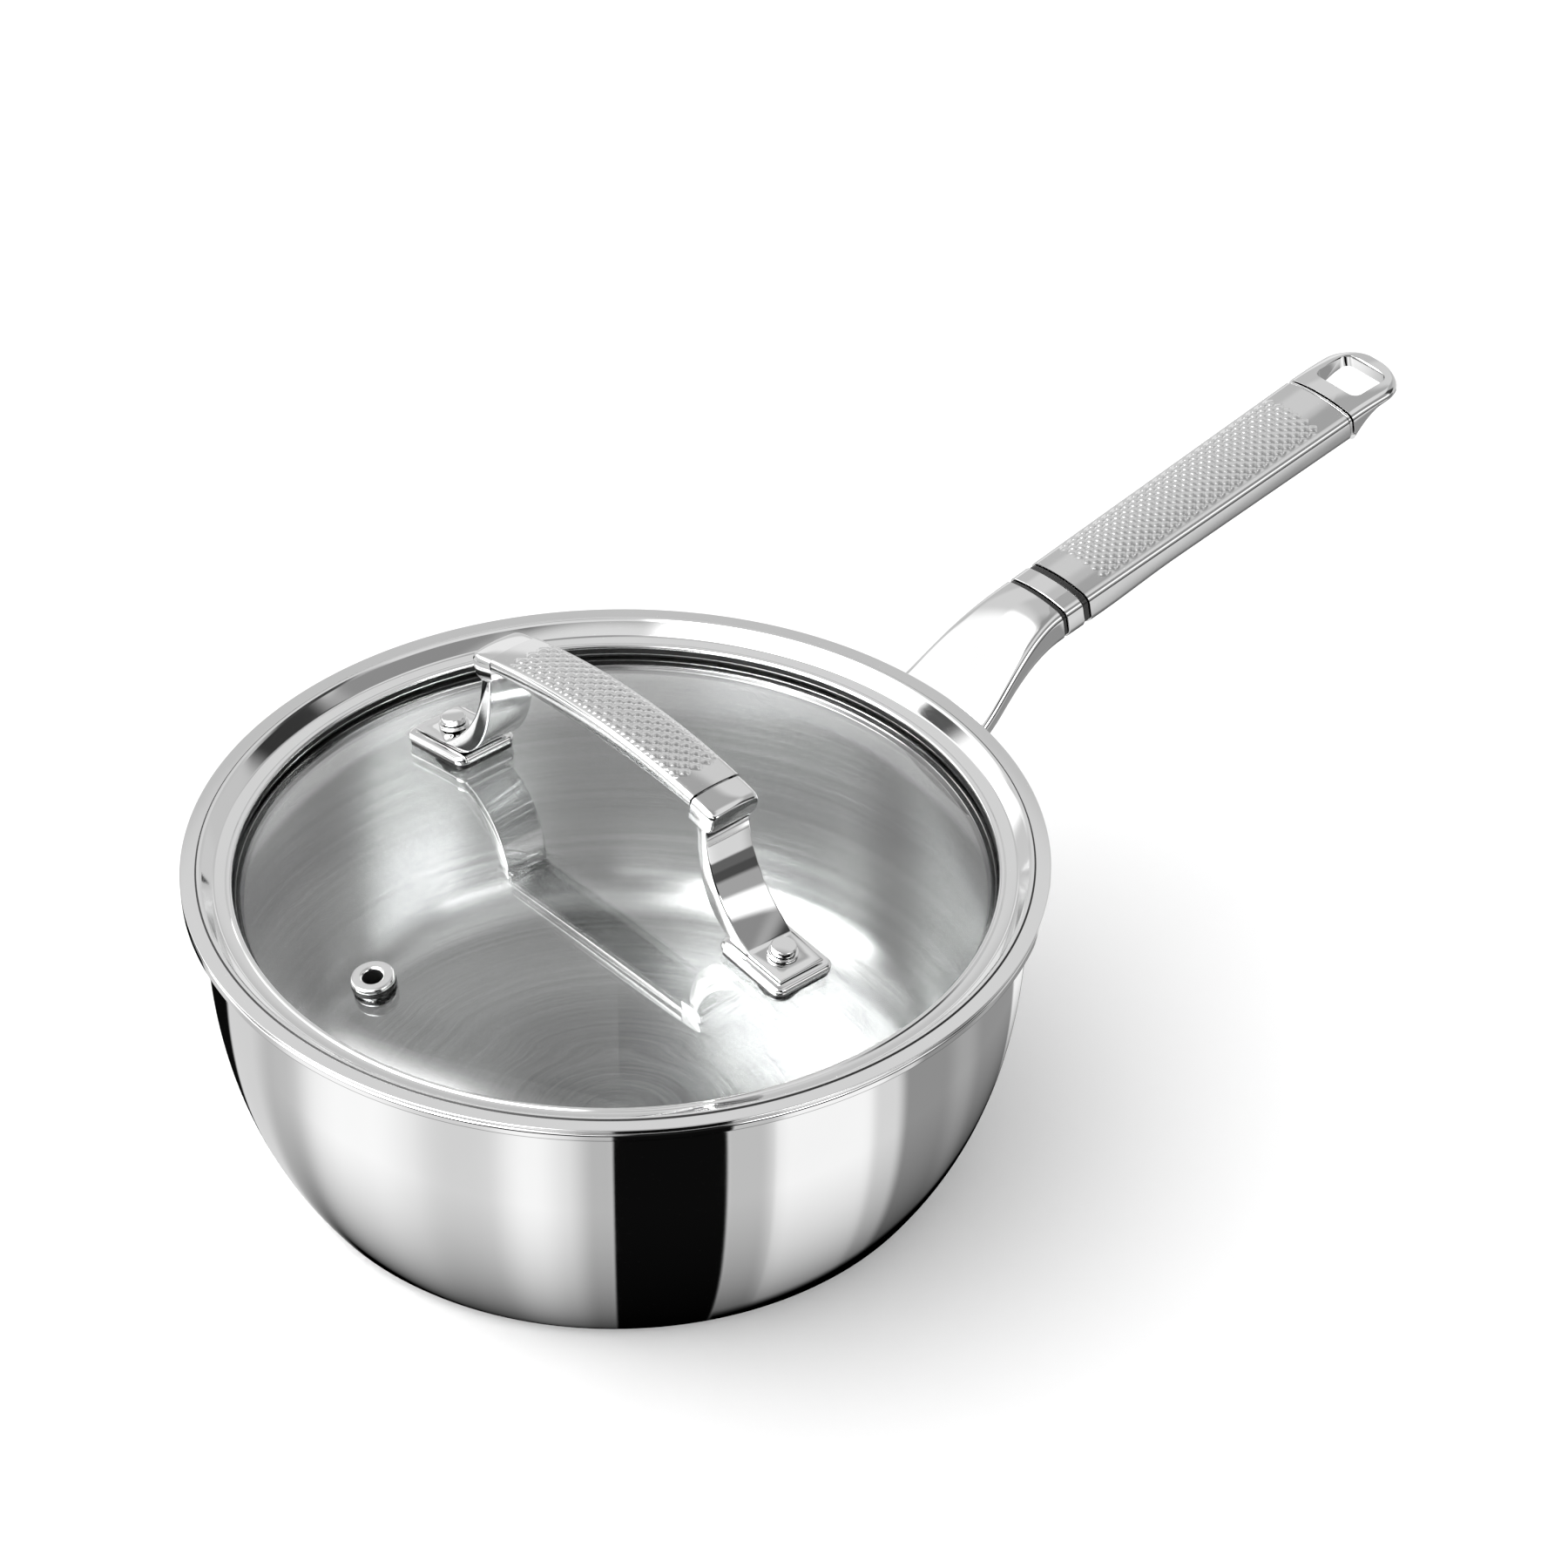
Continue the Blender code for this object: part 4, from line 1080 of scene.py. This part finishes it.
# The room above the table, as rows at rising heights (sine of the height): where the row
# starts, the room's own tone, then softboxes and flags as (from, to, edge softness, level).
ROOM = (
    (0.00, 0.66, ((-62, 60, 8, 0.01), (60, 100, 4, 0.08))),
    (0.15, 0.62, ((-130, -50, 14, 3.0), (-46, 60, 8, 0.02), (60, 96, 5, 0.42),
                  (150, 190, 6, 0.95), (-190, -150, 6, 0.95))),
    (0.36, 0.60, ((-128, -108, 5, 1.3), (-108, -92, 4, 0.1), (-92, -36, 6, 12.0),
                  (-32, 0, 8, 1.6), (0, 30, 5, 0.0), (32, 60, 6, 4.5), (60, 88, 4, 1.3),
                  (90, 114, 5, 0.04))),
    (0.57, 0.74, ((-134, -94, 8, 1.2), (-94, -30, 8, 11.0), (-14, 34, 8, 0.02), (34, 88, 6, 0.3),
                  (90, 114, 5, 0.06), (114, 140, 6, 0.45))),
    (0.79, 0.80, ((-128, -25, 15, 6.0), (138, 190, 8, 0.45), (-190, -150, 12, 0.6))),
    (0.95, 0.34, ((-140, -50, 20, 1.0),)))
TABLE_END = ((-62, 60, 8, 0.01), (60, 100, 4, 0.14))  # dark gap between table and softboxes


def banded(tree, value, level, bands):
    """Replaces the level inside each band of the value by the band's own tone."""
    for start, end, edge, tone in bands:
        rise = span(tree, value, start - edge, start + edge, 0.0, 1.0)
        fall = span(tree, value, end - edge, end + edge, 1.0, 0.0)
        level = node(tree, "ShaderNodeMix", [(0, math_node(tree, "MULTIPLY", rise, fall)),
                                             (2, level), (3, tone)]).outputs[0]
    return level


def blend(tree, factor, low_value, high_value):
    return node(tree, "ShaderNodeMix", [(0, factor), (2, low_value), (3, high_value)]).outputs[0]


def world():
    """Studio seen in reflections, an even fill for diffuse light, and a white backdrop."""
    made = bpy.data.worlds.new("studio")
    bpy.context.scene.world = made
    made.use_nodes = True
    made.cycles.sampling_method = "NONE"
    tree = made.node_tree
    tree.nodes.clear()
    coords = node(tree, "ShaderNodeTexCoord").outputs["Generated"]
    toward = (math.cos(CAMERA_AZIMUTH), math.sin(CAMERA_AZIMUTH), 0.0)
    right = (-toward[1], toward[0], 0.0)

    def along(axis):
        return node(tree, "ShaderNodeVectorMath", [(0, coords), (1, axis)],
                    operation="DOT_PRODUCT").outputs["Value"]

    p, q, h = along(toward), along(right), along((0.0, 0.0, 1.0))

    # below the horizon: upright bands on the walls, falling off toward their foot
    ahead = math_node(tree, "ADD", p, CAMERA_RISE)
    wall = math_node(tree, "MULTIPLY", math_node(tree, "ARCTAN2", q, ahead), 180 / math.pi)
    level = banded(tree, wall, 0.85, WALL_CARDS)
    reach = math_node(tree, "ADD", math_node(tree, "MULTIPLY", ahead, ahead),
                      math_node(tree, "MULTIPLY", q, q))
    lean = math_node(tree, "DIVIDE", reach, math_node(
        tree, "MULTIPLY", math_node(tree, "MAXIMUM", ahead, 0.02), 2 * CAMERA_RISE))
    foot = math_node(tree, "POWER", span(tree, lean, 0.24, 0.90, 0.0, 1.0, "LINEAR"), 0.95)
    foot = blend(tree, span(tree, wall, -62, -50, 1.0, 0.0), foot, 0.85)
    dark_foot = math_node(tree, "MULTIPLY", span(tree, wall, 14.5, 15.5, 0.0, 1.0),
                          span(tree, lean, 0.30, 0.38, 1.0, 0.0))
    foot = math_node(tree, "MULTIPLY", foot, math_node(tree, "SUBTRACT", 1.0, dark_foot))
    lower = math_node(tree, "MULTIPLY", level, foot)

    # above it: softboxes and flags round the room
    azimuth = math_node(tree, "MULTIPLY", math_node(tree, "ARCTAN2", q, p), 180 / math.pi)
    upper = banded(tree, azimuth, ROOM[0][1], ROOM[0][2])
    for start, tone, boxes in ROOM[1:]:
        upper = blend(tree, span(tree, h, start - 0.03, start + 0.03, 0.0, 1.0), upper,
                      banded(tree, azimuth, tone, boxes))

    edge = banded(tree, azimuth, 0.7, TABLE_END)
    seen = blend(tree, span(tree, h, -0.16, -0.12, 0.0, 1.0), lower, edge)
    seen = blend(tree, span(tree, h, -0.01, 0.03, 0.0, 1.0), seen, upper)

    path = node(tree, "ShaderNodeLightPath").outputs
    studio = node(tree, "ShaderNodeBackground", [("Color", seen), ("Strength", 1.0)])
    fill = span(tree, q, -0.9, 0.9, 2.3, 0.35, "LINEAR")
    plain = node(tree, "ShaderNodeBackground", [("Color", (1, 1, 1, 1)), ("Strength", fill)])
    back = node(tree, "ShaderNodeBackground", [("Color", (1, 1, 1, 1)), ("Strength", 1.1)])
    first = node(tree, "ShaderNodeMixShader", [(0, path["Is Glossy Ray"]), (1, plain.outputs[0]),
                                               (2, studio.outputs[0])])
    second = node(tree, "ShaderNodeMixShader", [(0, path["Is Camera Ray"]), (1, first.outputs[0]),
                                                (2, back.outputs[0])])
    node(tree, "ShaderNodeOutputWorld", [(0, second.outputs[0])])


def main():
    camera()
    floor()
    world()
    softbox("key_light", (-1.2, 0.6, 2.6), 3.5, 8.0)
    pan_body()
    handle_neck()
    bored_run("front_seal_ring", FRONT_SEAL, 0.4, RUBBER, "dark_seal", 0.1)
    bored_run("handle_collar", COLLAR, 0.0, POLISHED, "polished_steel", 0.25)
    bored_run("rear_seal_ring", REAR_SEAL, 0.4, RUBBER, "dark_seal", 0.1)
    handle_grip()
    bored_run("tail_ring", TAIL_RING, 0.4, POLISHED, "polished_steel", 0.15)
    handle_end_loop()
    handle_tie_rod()
    lid_rim()
    lid_glass()
    vent()
    lid_grip()
    for side, tag in ((1, "left"), (-1, "right")):
        foot_hardware(side, tag)
        leg(side, tag)
        lid_cap(side, tag)
    bpy.context.scene.view_settings.view_transform = "Standard"


main()
